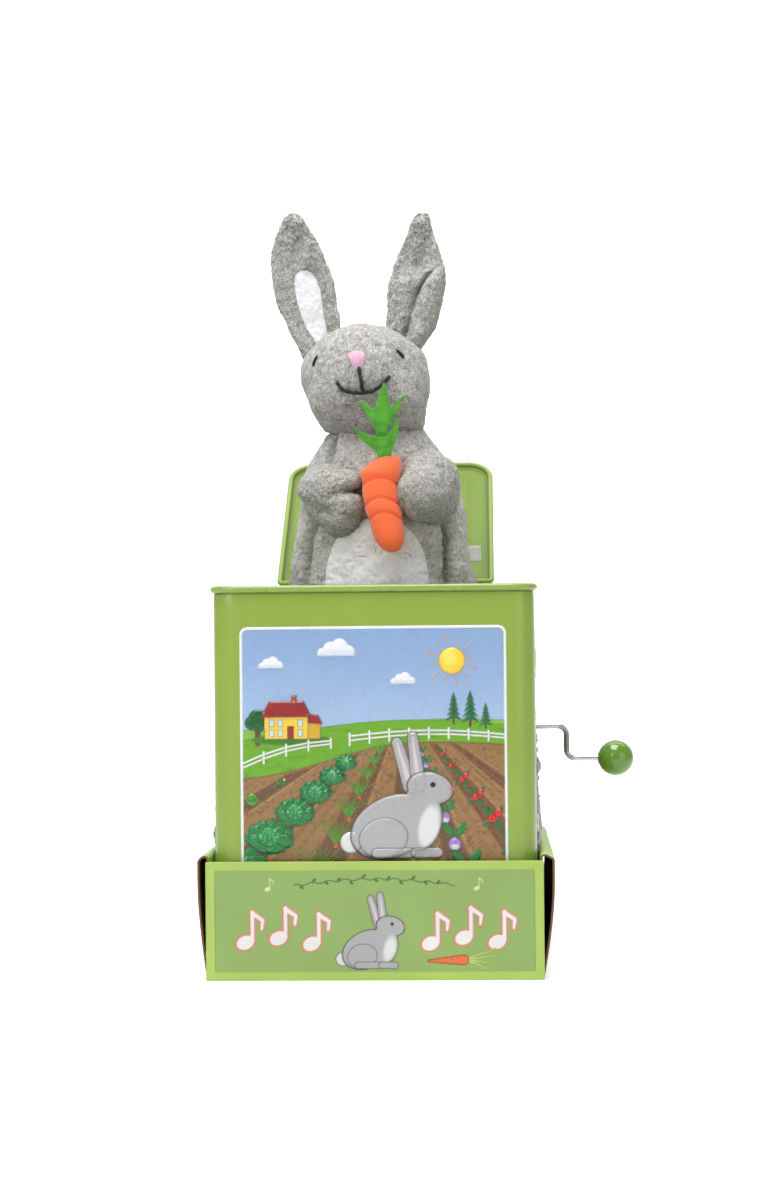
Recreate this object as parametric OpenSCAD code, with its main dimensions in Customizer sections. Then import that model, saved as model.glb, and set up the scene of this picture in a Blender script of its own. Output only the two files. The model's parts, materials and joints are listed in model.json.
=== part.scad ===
// Jack in the box: a tinplate box with a hinged lid, a hand crank that turns a music drum,
// and a plush rabbit on a coil spring. It stands in a folded card display tray.
// Frame: origin at the middle of the tray's underside, +Z up, front face towards -Y,
// crank on +X. The lid is drawn open and the rabbit popped out. Millimetres.

/* [Tin] */
// Width and depth of the tin's body
tin_w = 137; // [136:0.5:138]
// Height of the tin, base seam to rim
tin_h = 165.25; // [163:0.25:168]
// Radius of the tin's upright corners
tin_corner = 10; // [8:0.5:11]
// Thickness of the tinplate
sheet = 0.4; // [0.3:0.05:0.5]
// Overall width of the rolled rim
rim_w = 140; // [139.5:0.5:141]

/* [Lid] */
// Width of the lid
lid_w = 104; // [102:1:106]
// How far the lid stands open, in degrees
lid_open = 142; // [110:2:146]

/* [Crank] */
// Height of the crank shaft above the ground
crank_z = 103; // [102:0.5:104]
// Distance between the shaft and the knob's axis
crank_throw = 14.5; // [12:0.5:18]
// Diameter of the ball knob
knob_d = 16; // [14:1:20]

/* [Gears] */
// Tooth size
gear_module = 1; // [1:1]
// Teeth on the crank's pinion
pinion_teeth = 12; // [12:12]
// Teeth on the drum's gear
drum_teeth = 30; // [30:30]

/* [Spring] */
// Turns of the main spring
spring_turns = 9.5; // [8:0.5:11]
// Radius of the spring's wire
spring_wire = 0.9; // [0.7:0.1:1]

/* [Tray] */
// Width of the tray's floor and front panel
tray_w = 142; // [141:0.5:143]
// Height of the tray's front panel
tray_h = 50; // [40:1:55]

/* [Hidden] */
$fn = 48;
gap = 0.05;                        // running or fitting clearance
tray_sheet = 1.2;
tray_d = 147;
tray_side_h = tray_h + 2.5;
tray_bulge = 5;                    // how far the folded side walls stand out

z_tin = tray_sheet + gap;          // underside of the tin
z_rim = z_tin + tin_h;             // top of the rim
seam_r = 1.3;                      // rolled seam, section radius
plate_top = z_rim - 1;             // upper face of the top panel
base_top = z_tin + 1.65;           // upper face of the base panel
half = tin_w / 2;

open_w = 96;                       // opening in the top panel
open_y = 1;                        // its middle, along Y
open_corner = 12;
curl_r = 0.8;

hinge_y = 54.5;
hinge_z = plate_top + 1.8;
knuckle_r = 1.7;
pin_r = 0.8;
lid_corner = 13;                   // corners at the free edge
lid_heel = 2.6;                    // corners at the hinge
lid_hem_r = 1.2;
lid_top = hinge_z + 0.8;
lid_front = -50;
lid_back = hinge_y - 2.3;

latch_x = 26;                      // pivot of the latch bar
latch_y = -58;
latch_z = plate_top - 3.9;         // underside of the bar
latch_t = 1.2;
tail_x = 51;

trip_y = -46;                      // pivot of the trip lever
trip_z = crank_z + 19;
trip_x = 48.6;
trip_t = 1.6;

rod_r = 1.2;
rod_bend = 3.8;
arm_x = 83.7;                      // where the crank rod turns down
knob_x = 105.7;
knob_z = crank_z - crank_throw;

pinion_r = pinion_teeth * gear_module / 2;
drum_gear_r = drum_teeth * gear_module / 2;
drum_y = -(pinion_r + drum_gear_r);
drum_r = 10;
axle_r = 1.5;
stub = 0.8;                        // addendum, as a share of the module
backlash = 0.12;                   // cut from each tooth's thickness
pressure = 20;

plate_x = half - sheet - 1.6;      // movement base plate, inner face
plate_t = 1.4;
cover_x = 45.6;                    // movement cover, inner-most face
cover_wall = 1.2;
cover_y = [-39.5, 9];
cover_z = [crank_z - 18.5, crank_z + 18.5];
screw_at = [[5, crank_z + 15], [-35.5, crank_z + 14.5], [-35.5, crank_z - 14.5]];
rivet_at = [for (y = [-49, 12], z = [crank_z - 17, crank_z + 25]) [y, z]];
comb_teeth = 7;
comb_pitch = 1.25;
comb_x = 56.2;
comb_z = crank_z - drum_r - 1.5;   // underside of the comb

spring_foot_z = base_top + 1.85;
spring_top_z = 226;
spring_foot_r = 24;
spring_top_r = 16;

depth_share = 0.72;                // the plush body is an oval, shallower than it is wide
cloth = 1.5;
head_at = [-5.5, -3, 260.5];
head_r = [29, 26, 24.5];

tin_green = "#8fb445";
seam_green = "#a3c264";
fur_grey = "#a9a9a2";
felt_green = "#3f9a2c";
steel = "silver";

// ---------- shared shapes ----------

// Corner points of a rounded rectangle; its two back corners may have a radius of their own
function rounded(w, d, front, back = 0, steps = 8) = [
    for (q = [0:3], i = [0:steps])
        let (a = 90 * q + 90 * i / steps,
             r = q < 2 && back > 0 ? back : front,
             cx = (q == 0 || q == 3 ? 1 : -1) * (w / 2 - r),
             cy = (q < 2 ? 1 : -1) * (d / 2 - r))
        [cx + r * cos(a), cy + r * sin(a)]];

// Upright prism with rounded corners
module rounded_block(w, d, front, h, back = 0) {
    linear_extrude(h) polygon(rounded(w, d, front, back));
}

// Rolled bead that runs round a rounded rectangle: w and d are its overall size
module bead(w, d, front, r, back = 0) {
    rear = back > 0 ? back : front;
    corners = [front, rear, rear, front];
    for (k = [0:3]) rotate(90 * k) {
        along = (k % 2 == 0 ? w : d) / 2;
        across = (k % 2 == 0 ? d : w) / 2;
        before = corners[(k + 3) % 4];
        after = corners[k];
        translate([before - along, r - across, 0]) rotate([0, 90, 0])
            cylinder(r = r, h = 2 * along - before - after, $fn = 24);
        translate([along - after, after - across, 0]) rotate(-90)
            rotate_extrude(angle = 90) translate([after - r, 0]) circle(r = r, $fn = 24);
    }
}

// Puts a flat shape in the YZ plane, growing towards +X from x
module along_x(x) {
    translate([x, 0, 0]) rotate([90, 0, 90]) children();
}

module rod_x(x, y, z, r, length) {
    translate([x, y, z]) rotate([0, 90, 0]) cylinder(r = r, h = length);
}

// Skin over rings that all have the same number of points; a loop joins the last to the first
module loft(rings, loop = false) {
    sides = len(rings[0]);
    last = len(rings) - 1;
    walls = [for (i = [0:loop ? last : last - 1], k = [0:sides - 1])
        let (a = i * sides, b = ((i + 1) % (last + 1)) * sides, n = (k + 1) % sides)
        [a + k, a + n, b + n, b + k]];
    ends = loop ? [] : [[for (k = [sides - 1:-1:0]) k],
        [for (k = [0:sides - 1]) last * sides + k]];
    polyhedron([for (ring = rings) each ring], concat(walls, ends));
}

// Flat bar with round ends between two points
module bar(from, to, width) {
    reach = to - from;
    translate(from) circle(d = width);
    translate(to) circle(d = width);
    translate(from) rotate(atan2(reach[1], reach[0]))
        translate([0, -width / 2]) square([norm(reach), width]);
}

// ---------- tray ----------

// One folded side wall, as a loop of card: straight inside, bowed outside
module tray_side() {
    inner = tray_w / 2 - 1;
    bow = function (z) tray_w / 2 + tray_bulge * sin(min(90, 90 * z / (tray_side_h - 10)));
    steps = 8;
    outer = [for (i = [0:steps]) let (z = (tray_side_h - 5) * i / steps) [bow(z), z]];
    lip = [[bow(tray_side_h), tray_side_h - 2], [bow(tray_side_h) - 1.2, tray_side_h],
        [inner + 1, tray_side_h], [inner, tray_side_h - 1.5], [inner, tray_sheet + gap],
        [inner, 0]];
    hollow = [for (i = [1:steps]) let (z = (tray_side_h - 5) * i / steps) [bow(z) - 0.8, z]];
    hollow_lip = [[bow(tray_side_h) - 0.8, tray_side_h - 2.4],
        [bow(tray_side_h) - 1.6, tray_side_h - 0.8], [inner + 1.4, tray_side_h - 0.8],
        [inner + 0.8, tray_side_h - 1.8], [inner + 0.8, 3]];
    run = tray_d - 2 * tray_sheet + 0.4;
    rotate([90, 0, 0]) translate([0, 0, -run / 2]) linear_extrude(run) difference() {
        polygon(concat(outer, lip));
        polygon(concat(hollow, hollow_lip));
    }
}

module display_tray() {
    color("#b4d678") {
        translate([-tray_w / 2, -tray_d / 2, 0]) cube([tray_w, tray_d, tray_sheet]);
        for (side = [-1, 1])
            translate([-tray_w / 2, side * (tray_d - tray_sheet) / 2 - tray_sheet / 2, 0])
                cube([tray_w, tray_sheet, tray_h]);
        tray_side();
        mirror([1, 0, 0]) tray_side();
    }
}

// ---------- tin ----------

module tin_shell() {
    z0 = base_top + gap;
    color(tin_green) difference() {
        translate([0, 0, z0])
            rounded_block(tin_w, tin_w, tin_corner, plate_top - sheet - gap - z0);
        translate([0, 0, z0 - 1])
            rounded_block(tin_w - 2 * sheet, tin_w - 2 * sheet, tin_corner - sheet, tin_h + 2);
        rod_x(half - 2, 0, crank_z, 2.55, 4);
        for (p = rivet_at) rod_x(half - 2, p[0], p[1], 1.22, 4);
    }
}

module tin_base() {
    w = tin_w + 2;
    color(seam_green) difference() {
        union() {
            translate([0, 0, z_tin + seam_r - 0.1]) bead(w, w, tin_corner + 1, seam_r - 0.1);
            translate([0, 0, base_top - sheet])
                rounded_block(w - 2 * seam_r, w - 2 * seam_r, tin_corner, sheet);
        }
        translate([0, 0, base_top + 0.02])
            rounded_block(tin_w + 2 * gap, tin_w + 2 * gap, tin_corner + gap, 5);
        for (p = spring_rivet_at()) translate([p[0], p[1], 0]) cylinder(r = 1.52, h = 5);
    }
}

module top_frame() {
    color(seam_green) difference() {
        union() {
            translate([0, 0, z_rim - seam_r]) bead(rim_w, rim_w, tin_corner + 2, seam_r);
            difference() {
                translate([0, 0, plate_top - sheet]) rounded_block(
                    rim_w - 2 * seam_r, rim_w - 2 * seam_r, tin_corner + 1, sheet);
                translate([0, open_y, plate_top - 1]) rounded_block(
                    open_w + 2 * curl_r, open_w + 2 * curl_r, open_corner + curl_r, 2);
            }
            translate([0, open_y, plate_top - curl_r]) bead(
                open_w + 4 * curl_r, open_w + 4 * curl_r, open_corner + 2 * curl_r, curl_r);
            for (x = [-38, -6, 26]) {
                rod_x(x, hinge_y, hinge_z, knuckle_r, 12);
                translate([x, hinge_y - 0.8, plate_top - sheet / 2]) cube([12, 1.6, 1]);
            }
        }
        translate([0, 0, plate_top - sheet - 10.02])
            linear_extrude(10) difference() {
                polygon(rounded(tin_w + 2 * gap, tin_w + 2 * gap, tin_corner + gap));
                polygon(rounded(tin_w - 8, tin_w - 8, tin_corner - 4));
            }
        rod_x(-40, hinge_y, hinge_z, pin_r + 0.02, 80);
        translate([latch_x, latch_y, plate_top - 3]) cylinder(r = rod_r + 0.02, h = 6);
    }
}

// ---------- lid ----------

// Moves a part of the lid from where it lies closed to where it stands open
module opened() {
    translate([0, hinge_y, hinge_z]) rotate([-lid_open, 0, 0])
        translate([0, -hinge_y, -hinge_z]) children();
}

module hinge_pin() {
    color(steel) rod_x(-39.5, hinge_y, hinge_z, pin_r, 79);
}

module lid() {
    length = lid_back - lid_front;
    mid_y = (lid_back + lid_front) / 2;
    color(tin_green) opened() difference() {
        union() {
            translate([0, mid_y, lid_top - lid_hem_r])
                bead(lid_w, length, lid_corner, lid_hem_r, lid_heel);
            translate([0, mid_y, lid_top - sheet]) rounded_block(
                lid_w - 2 * lid_hem_r, length - 2 * lid_hem_r, lid_corner - lid_hem_r, sheet,
                lid_heel - lid_hem_r);
            for (x = [-25, 7]) {
                rod_x(x, hinge_y, hinge_z, knuckle_r, 18);
                translate([x, lid_back - 1, lid_top - sheet - 0.3]) cube([18, 2.3, sheet + 0.3]);
            }
        }
        rod_x(-30, hinge_y, hinge_z, pin_r + gap, 60);
        for (x = [-4, 4]) translate([x, -40, lid_top - 2]) cylinder(r = 0.92, h = 4);
    }
}

module lid_catch() {
    under = lid_top - sheet - 0.02;
    color(steel) opened() difference() {
        union() {
            translate([-7, -45.6, under - 0.8]) cube([14, 10, 0.8]);
            translate([-7, -45.6, latch_z - 2]) cube([14, 0.8, under - latch_z + 2]);
        }
        translate([-4.5, -47, latch_z - 0.7]) cube([9, 4, latch_t + 1.4]);
        for (x = [-4, 4]) translate([x, -40, under - 2]) cylinder(r = 0.92, h = 4);
    }
}

module catch_rivets() {
    color(steel) opened() for (x = [-4, 4]) translate([x, -40, 0]) {
        translate([0, 0, lid_top - sheet - 1.2]) cylinder(r = 0.9, h = sheet + 1.5);
        translate([0, 0, lid_top + 0.02]) cylinder(r = 1.8, h = 0.5);
        translate([0, 0, lid_top - sheet - 1.4]) cylinder(r = 1.6, h = 0.5);
    }
}

// ---------- latch ----------

module latch_bar() {
    color(steel) translate([0, 0, latch_z]) linear_extrude(latch_t) difference() {
        union() {
            bar([0, latch_y], [latch_x, latch_y], 5);
            bar([latch_x, latch_y], [tail_x, latch_y], 4);
            translate([-2.2, latch_y]) square([4.4, 13.8]);
        }
        translate([latch_x, latch_y]) circle(r = rod_r + gap);
    }
}

// Rivet with a collar that keeps the bar clear of the top panel
module latch_pivot() {
    color(steel) translate([latch_x, latch_y, 0]) {
        translate([0, 0, latch_z - 1]) cylinder(r = rod_r, h = plate_top - latch_z + 1.1);
        translate([0, 0, plate_top + 0.02]) cylinder(r = 2.2, h = 0.6);
        translate([0, 0, latch_z - 1.2]) cylinder(r = 2.3, h = 1.2 - gap);
        translate([0, 0, latch_z + latch_t + gap])
            cylinder(r = 2, h = plate_top - sheet - gap - latch_z - latch_t - gap);
    }
}

module latch_spring() {
    wire = 0.36;
    color(steel) translate([latch_x, latch_y, latch_z + latch_t + 0.8]) {
        for (k = [0, 1]) translate([0, 0, 0.7 * k]) rotate_extrude()
            translate([3, 0]) circle(r = wire, $fn = 16);
        translate([0, -3, 0]) rotate([0, -90, 0]) cylinder(r = wire, h = 12, $fn = 16);
        translate([0, -3, 0.7]) rotate([0, 90, 0]) cylinder(r = wire, h = 9, $fn = 16);
    }
}

trip_foot = [drum_y - 11.45, crank_z + 1];
trip_elbow = [latch_y - 3.4, crank_z + 51];
trip_tip = [latch_y - 3.4, latch_z + 0.7];

module trip_lever() {
    pivot = [trip_y, trip_z];
    color(steel) along_x(trip_x) linear_extrude(trip_t) difference() {
        union() {
            bar(pivot, trip_foot, 3);
            bar(pivot, trip_elbow, 3.4);
            bar(trip_elbow, trip_tip, 2.4);
            translate(pivot) circle(r = 3.4);
        }
        translate(pivot) circle(r = 1.55);
    }
}

module trip_pivot() {
    color(steel) {
        rod_x(trip_x - 1.3, trip_y, trip_z, 2.8, 1.2);
        rod_x(trip_x - 0.2, trip_y, trip_z, 1.5, trip_t + 0.3);
        rod_x(trip_x, trip_y, trip_z, 0.98, 9);
    }
}

// ---------- crank ----------

module crank_bushing() {
    color(steel) difference() {
        union() {
            rod_x(half + 0.02, 0, crank_z, 4.2, 0.8);
            rod_x(plate_x, 0, crank_z, 2.5, half - plate_x + 0.1);
        }
        rod_x(plate_x - 1, 0, crank_z, rod_r + gap, 6);
    }
}

module crank_rod() {
    color(steel) {
        rod_x(cover_x + 0.3, 0, crank_z, rod_r, arm_x - rod_bend - cover_x - 0.3);
        translate([arm_x - rod_bend, 0, crank_z - rod_bend]) rotate([90, 0, 0])
            rotate_extrude(angle = 90) translate([rod_bend, 0]) circle(r = rod_r);
        translate([arm_x, 0, knob_z + rod_bend])
            cylinder(r = rod_r, h = crank_throw - 2 * rod_bend);
        translate([arm_x + rod_bend, 0, knob_z + rod_bend]) rotate([90, 180, 0])
            rotate_extrude(angle = 90) translate([rod_bend, 0]) circle(r = rod_r);
        rod_x(arm_x + rod_bend, 0, knob_z, rod_r, knob_x - 2 - arm_x - rod_bend);
    }
}

module crank_knob() {
    color("#6aa121") difference() {
        translate([knob_x, 0, knob_z]) sphere(d = knob_d);
        rod_x(knob_x - knob_d, 0, knob_z, rod_r + 0.02, knob_d - 1.9);
    }
}

// ---------- gears ----------

function involute_angle(a) = tan(a) * 180 / PI - a;

// Outline of a spur gear with involute flanks, tooth 0 centred on +X
function gear_outline(teeth) =
    let (pitch = teeth * gear_module / 2,
         base = pitch * cos(pressure),
         root = pitch - 1.15 * gear_module,
         tip = pitch + stub * gear_module,
         start = max(base, root) + 0.001,
         half_tooth = 90 / teeth - backlash / 2 / pitch * 180 / PI,
         steps = 4,
         flank = [for (i = [0:steps]) let (r = start + (tip - start) * i / steps)
             [r, half_tooth + involute_angle(pressure) - involute_angle(acos(base / r))]])
    [for (k = [0:teeth - 1]) let (mid = 360 * k / teeth)
        each concat(
            [[root * cos(mid - flank[0][1]), root * sin(mid - flank[0][1])]],
            [for (f = flank) [f[0] * cos(mid - f[1]), f[0] * sin(mid - f[1])]],
            [for (i = [steps:-1:0]) let (f = flank[i]) [f[0] * cos(mid + f[1]), f[0] * sin(mid + f[1])]],
            [[root * cos(mid + flank[0][1]), root * sin(mid + flank[0][1])]])];

module crank_pinion() {
    color("ivory") difference() {
        union() {
            along_x(51) linear_extrude(3.4) translate([0, crank_z]) rotate(180)
                polygon(gear_outline(pinion_teeth));
            rod_x(54.3, 0, crank_z, 2.6, plate_x - 54.3 - 0.3);
        }
        rod_x(50, 0, crank_z, rod_r + 0.01, 20);
    }
}

module drum_gear() {
    color("ivory") difference() {
        along_x(51.2) linear_extrude(3) translate([drum_y, crank_z]) rotate(180 / drum_teeth)
            polygon(gear_outline(drum_teeth));
        rod_x(50, drum_y, crank_z, axle_r + 0.02, 6);
        for (a = [0:60:300]) rod_x(50, drum_y + 9 * cos(a), crank_z + 9 * sin(a), 2.6, 6);
    }
}

module drum_axle() {
    color(steel) rod_x(cover_x + 0.2, drum_y, crank_z, axle_r, plate_x + plate_t - cover_x - 0.4);
}

module music_drum() {
    color("#d8a032") difference() {
        union() {
            rod_x(55.4, drum_y, crank_z, drum_r, 9.4);
            rod_x(54.4, drum_y, crank_z, 4, 1.1);
            for (i = [0:comb_teeth - 1], j = [0:4]) {
                turn = (67 * i + 72 * j + 17 * i * j) % 360;
                translate([comb_x + 0.2 + comb_pitch * i, drum_y, crank_z]) rotate([turn, 0, 0])
                    translate([0, -0.4, drum_r - 0.5]) cube([0.5, 0.8, 1.2]);
            }
        }
        rod_x(50, drum_y, crank_z, axle_r + 0.02, 20);
    }
}

module release_cam() {
    color("firebrick") difference() {
        along_x(48.4) linear_extrude(2.2) translate([drum_y, crank_z]) {
            circle(r = 8.2);
            rotate(60) translate([8.1, 0]) circle(r = 1.5);
        }
        rod_x(48, drum_y, crank_z, axle_r + 0.02, 4);
    }
}

// ---------- music movement ----------

module movement_base() {
    top_x = cover_x + cover_wall + gap;
    color("dimgray") difference() {
        union() {
            along_x(plate_x) linear_extrude(plate_t) translate([-18.5, crank_z + 4])
                polygon(rounded(70, 52, 4));
            for (p = screw_at) rod_x(top_x, p[0], p[1], 2.2, plate_x - top_x + 0.2);
            rod_x(trip_x + trip_t + 0.2, trip_y, trip_z, 2.8, plate_x - trip_x - trip_t);
            rod_x(plate_x - 1, drum_y, crank_z, 3.4, 1.2);
            translate([comb_x - 0.6, 1, comb_z - 3.5 - gap])
                cube([plate_x - comb_x + 0.8, 6, 3.5]);
        }
        rod_x(plate_x - 3, 0, crank_z, 2.55, 6);
        rod_x(plate_x - 3, drum_y, crank_z, axle_r + gap, 6);
        rod_x(trip_x, trip_y, trip_z, 1, 12);
        for (p = screw_at) rod_x(top_x - 1, p[0], p[1], 0.86, 11);
        for (p = rivet_at) rod_x(plate_x - 3, p[0], p[1], 1.22, 6);
        for (x = [57.5, 62.5]) translate([x, 4, comb_z - 3]) cylinder(r = 0.72, h = 4);
    }
}

module movement_cover() {
    size = [plate_x - gap - cover_x, cover_y[1] - cover_y[0], cover_z[1] - cover_z[0]];
    color("#3b3f45") difference() {
        translate([cover_x, cover_y[0], cover_z[0]]) cube(size);
        translate([cover_x + cover_wall, cover_y[0] + cover_wall, cover_z[0] + cover_wall])
            cube([size[0], size[1] - 2 * cover_wall, size[2] - 2 * cover_wall]);
        translate([cover_x + cover_wall + 0.6, cover_y[0] - 1, crank_z + 3]) cube([4, 4, 12.5]);
        rod_x(cover_x - 1, 0, crank_z, rod_r + gap, 4);
        rod_x(cover_x - 1, drum_y, crank_z, axle_r + gap, 4);
        for (p = screw_at) rod_x(cover_x - 1, p[0], p[1], 0.95, 4);
        for (k = [0:4]) translate([cover_x - 1, -30 + 5 * k, crank_z - 12]) cube([4, 1.6, 7]);
    }
}

module cover_screws() {
    color(steel) for (p = screw_at) difference() {
        union() {
            rod_x(cover_x - 1, p[0], p[1], 1.9, 0.95);
            rod_x(cover_x - 0.1, p[0], p[1], 0.84, 9);
        }
        translate([cover_x - 1.2, p[0] - 1.3, p[1] - 0.25]) cube([0.6, 2.6, 0.5]);
        translate([cover_x - 1.2, p[0] - 0.25, p[1] - 1.3]) cube([0.6, 0.5, 2.6]);
    }
}

module wall_rivets() {
    color(seam_green) for (p = rivet_at) {
        rod_x(plate_x - 0.7, p[0], p[1], 2.2, 0.68);
        rod_x(plate_x - 0.1, p[0], p[1], 1.2, half - plate_x + 0.2);
        rod_x(half + 0.02, p[0], p[1], 2.3, 0.6);
    }
}

module comb() {
    color("gainsboro") difference() {
        translate([comb_x - 0.3, drum_y - 0.4, comb_z])
            cube([comb_teeth * comb_pitch + 0.2, 28.4, 0.5]);
        for (i = [1:comb_teeth - 1])
            translate([comb_x - 0.3 + comb_pitch * i - 0.12, drum_y - 1, comb_z - 1])
                cube([0.35, 9 + 1.5 * i, 3]);
        for (x = [57.5, 62.5]) translate([x, 4, comb_z - 1]) cylinder(r = 0.78, h = 3);
    }
}

module comb_screws() {
    color(steel) for (x = [57.5, 62.5]) translate([x, 4, 0]) {
        translate([0, 0, comb_z + 0.52]) cylinder(r = 1.5, h = 0.9);
        translate([0, 0, comb_z - 2.8]) cylinder(r = 0.7, h = 3.5);
    }
}

// ---------- spring ----------

function spring_rivet_at() = [for (a = [30, 150, 270]) [12 * cos(a), 12 * sin(a)]];

module spring_base() {
    z = base_top + 0.05;
    color(steel) difference() {
        union() {
            translate([0, 0, z]) cylinder(r = 26.8, h = 0.8);
            for (a = [90, 210, 330]) rotate(a) {
                translate([25.5, -4, z]) cube([1, 8, 4.2]);
                translate([20.5, -4, z + 3.4]) cube([6, 8, 0.8]);
            }
        }
        for (p = spring_rivet_at()) translate([p[0], p[1], 0]) cylinder(r = 1.52, h = 8);
    }
}

module spring_rivets() {
    color(steel) for (p = spring_rivet_at()) translate([p[0], p[1], 0]) {
        translate([0, 0, base_top - sheet - 0.6]) cylinder(r = 2.6, h = 0.58);
        translate([0, 0, base_top - sheet - 0.1]) cylinder(r = 1.5, h = sheet + 1.2);
        translate([0, 0, base_top + 0.87]) cylinder(r = 2.6, h = 0.6);
    }
}

// Conical coil: flat for its first and last part turn, so that it sits square
module main_spring() {
    steps = 20;
    sides = 8;
    flat_turns = 0.65;
    total = floor(spring_turns * steps);
    rise = function (i) min(1, max(0, (i / steps - flat_turns) / (spring_turns - 2 * flat_turns)));
    section = function (i) let (t = rise(i), a = 360 * i / steps,
        r = spring_foot_r + (spring_top_r - spring_foot_r) * t,
        z = spring_foot_z + (spring_top_z - spring_foot_z) * t)
        [for (k = [0:sides - 1]) let (b = 360 * k / sides, w = r + spring_wire * cos(b))
            [w * cos(a), w * sin(a), z + spring_wire * sin(b)]];
    color(steel) loft([for (i = [0:total]) section(i)]);
}

module spring_cap() {
    color("tan") {
        translate([0, 0, spring_top_z + spring_wire + 0.1]) cylinder(r = 17.5, h = 1.8);
        translate([-3, 0, spring_top_z + spring_wire + 0.1]) cylinder(r = 7, h = 14);
    }
}

// ---------- rabbit ----------

// Half width of the cloth body at each height
body_outline = [[4.5, 40], [60, 42], [150, 42.5], [166, 42.5], [180, 41], [195, 38.5],
    [210, 35.5], [224, 31.5], [231, 27.5], [236, 23.5], [237.5, 18]];

// Oval sleeve of cloth, open at both ends
module body_cloth() {
    steps = 48;
    oval = function (z, r) [for (k = [0:steps - 1]) let (a = 360 * k / steps)
        [r * cos(a), depth_share * r * sin(a), z]];
    last = len(body_outline) - 1;
    outside = [for (p = body_outline) oval(p[0], p[1])];
    inside = [for (i = [last:-1:0]) oval(body_outline[i][0], body_outline[i][1] - cloth)];
    color(fur_grey) loft(concat(outside, inside), loop = true);
}

// White oval sewn on the front of the body, as rows of points from the bottom up
module belly_patch() {
    middle = [-1, 148];
    size = [24, 42];
    rows = 18;
    columns = 12;
    front = function (x, z, lift) let (r = lookup(z, body_outline) + lift)
        [x, -depth_share * sqrt(r * r - x * x), z];
    row = function (a) let (z = middle[1] + size[1] * sin(a), w = size[0] * cos(a))
        concat([for (k = [0:columns]) front(middle[0] + w * (2 * k / columns - 1), z, 1.6)],
            [for (k = [columns:-1:0]) front(middle[0] + w * (2 * k / columns - 1), z, 0.3)]);
    color("#ececee") loft([for (i = [0:rows]) row(-80 + 160 * i / rows)]);
}

module head() {
    color(fur_grey) translate(head_at) scale(head_r / head_r[0]) sphere(r = head_r[0]);
}

// Flat leaf-shaped outline, root at the origin, growing along +Y
function leaf(length, width, root) = let (steps = 12) concat(
    [for (i = [0:steps]) let (t = i / steps)
        [root / 2 * (1 - t) + width / 2 * pow(sin(180 * pow(t, 0.85)), 0.8), length * t]],
    [for (i = [steps - 1:-1:0]) let (t = i / steps)
        [-root / 2 * (1 - t) - width / 2 * pow(sin(180 * pow(t, 0.85)), 0.8), length * t]]);

// Stands a flat outline upright, facing -Y, with its front face at y
module upright(at, lean, thick) {
    translate([at[0], at[1] + thick, at[2]]) rotate([90, 0, 0]) rotate(-lean)
        linear_extrude(thick) children();
}

module ear_left() {
    color(fur_grey) upright([-24.8, -1, 272.5], -12.4, 6.5) polygon(leaf(66, 23, 10));
}

module ear_right() {
    color(fur_grey) upright([9.3, -1, 273], 10.9, 6.5) polygon(leaf(64.5, 21, 10));
}

module ear_lining_left() {
    color("#ececee") upright([-24.7, -1.7, 281.5], -17, 0.65) polygon(leaf(34, 9, 2));
}

module ear_lining_right() {
    color("#ececee") upright([11.1, -1.7, 284], 10.9, 0.65) polygon(leaf(32, 4, 2));
}

module arm_left() {
    color(fur_grey) translate([-20, -22, 203]) scale([14, 12, 18] / 14) sphere(r = 14);
}

module arm_right() {
    color(fur_grey) translate([22.8, -22, 208.5]) scale([14.5, 12.5, 18.5] / 14.5) sphere(r = 14.5);
}

// Stuffed carrot with four pinched rings
module carrot() {
    length = 41;
    steps = 32;
    outline = [for (i = [0:steps]) let (t = i / steps,
        cone = 5.9 + 2.1 * t,
        bulge = 0.8 * abs(sin(180 * 4 * t)),
        cap = pow(max(0, 1 - pow(2 * t - 1, 8)), 0.5))
        [(cone + bulge) * cap, length * t]];
    color("#fb6e3e") translate([7.2, -35.6, 181]) rotate([0, -6, 0]) rotate_extrude()
        polygon(concat([[0, 0]], [for (p = outline) [p[0] + 0.001, p[1]]], [[0, length]]));
}

module leaf_upper() {
    color(felt_green) upright([3.3, -37.2, 219], 0, 1.4) polygon([[-2.3, 0], [-2.3, 16],
        [-4.4, 19.5], [-8.9, 28.4], [-2.2, 24.7], [1.8, 36.1], [3.8, 25.4], [10.5, 30.7],
        [5.2, 19], [2.6, 15], [2.6, 0]]);
}

module leaf_lower() {
    color(felt_green) upright([4.3, -39.2, 218.4], 0, 1.4) polygon([[-2.6, 0], [-2.8, 5],
        [-8.3, 10.4], [-12.9, 17.1], [-5, 13.2], [1.4, 13.2], [6.4, 20.6], [4.6, 9.7],
        [2.9, 5], [2.8, 0]]);
}

module nose() {
    color("#e6a8c8") translate([-8.1, -28.6, 266.4]) scale([3.9, 1.4, 4.1] / 3.9) sphere(r = 3.9);
}

module eyes() {
    color("black") {
        translate([-27.3, -18.4, 267.1]) rotate([0, 28, 0]) scale([1, 1.2, 3] / 3) sphere(r = 3);
        translate([11.3, -21.6, 269.4]) rotate([0, -45, 0]) scale([1, 1.2, 3] / 3) sphere(r = 3);
    }
}

// Smile: one arc of thread and a short line up to the nose
module mouth() {
    color("black") translate([-5.9, -27.2, 264.8]) rotate([90, 0, 3]) {
        rotate(216) rotate_extrude(angle = 117) translate([13.5, 0]) circle(r = 0.7, $fn = 16);
        translate([0.8, -13.2, 0]) rotate([-90, 0, 10]) cylinder(r = 0.7, h = 9.6, $fn = 16);
    }
}

module side_tag() {
    color("white") translate([39.3, -0.4, 177.5]) cube([5.6, 0.5, 7.2]);
}

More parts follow.
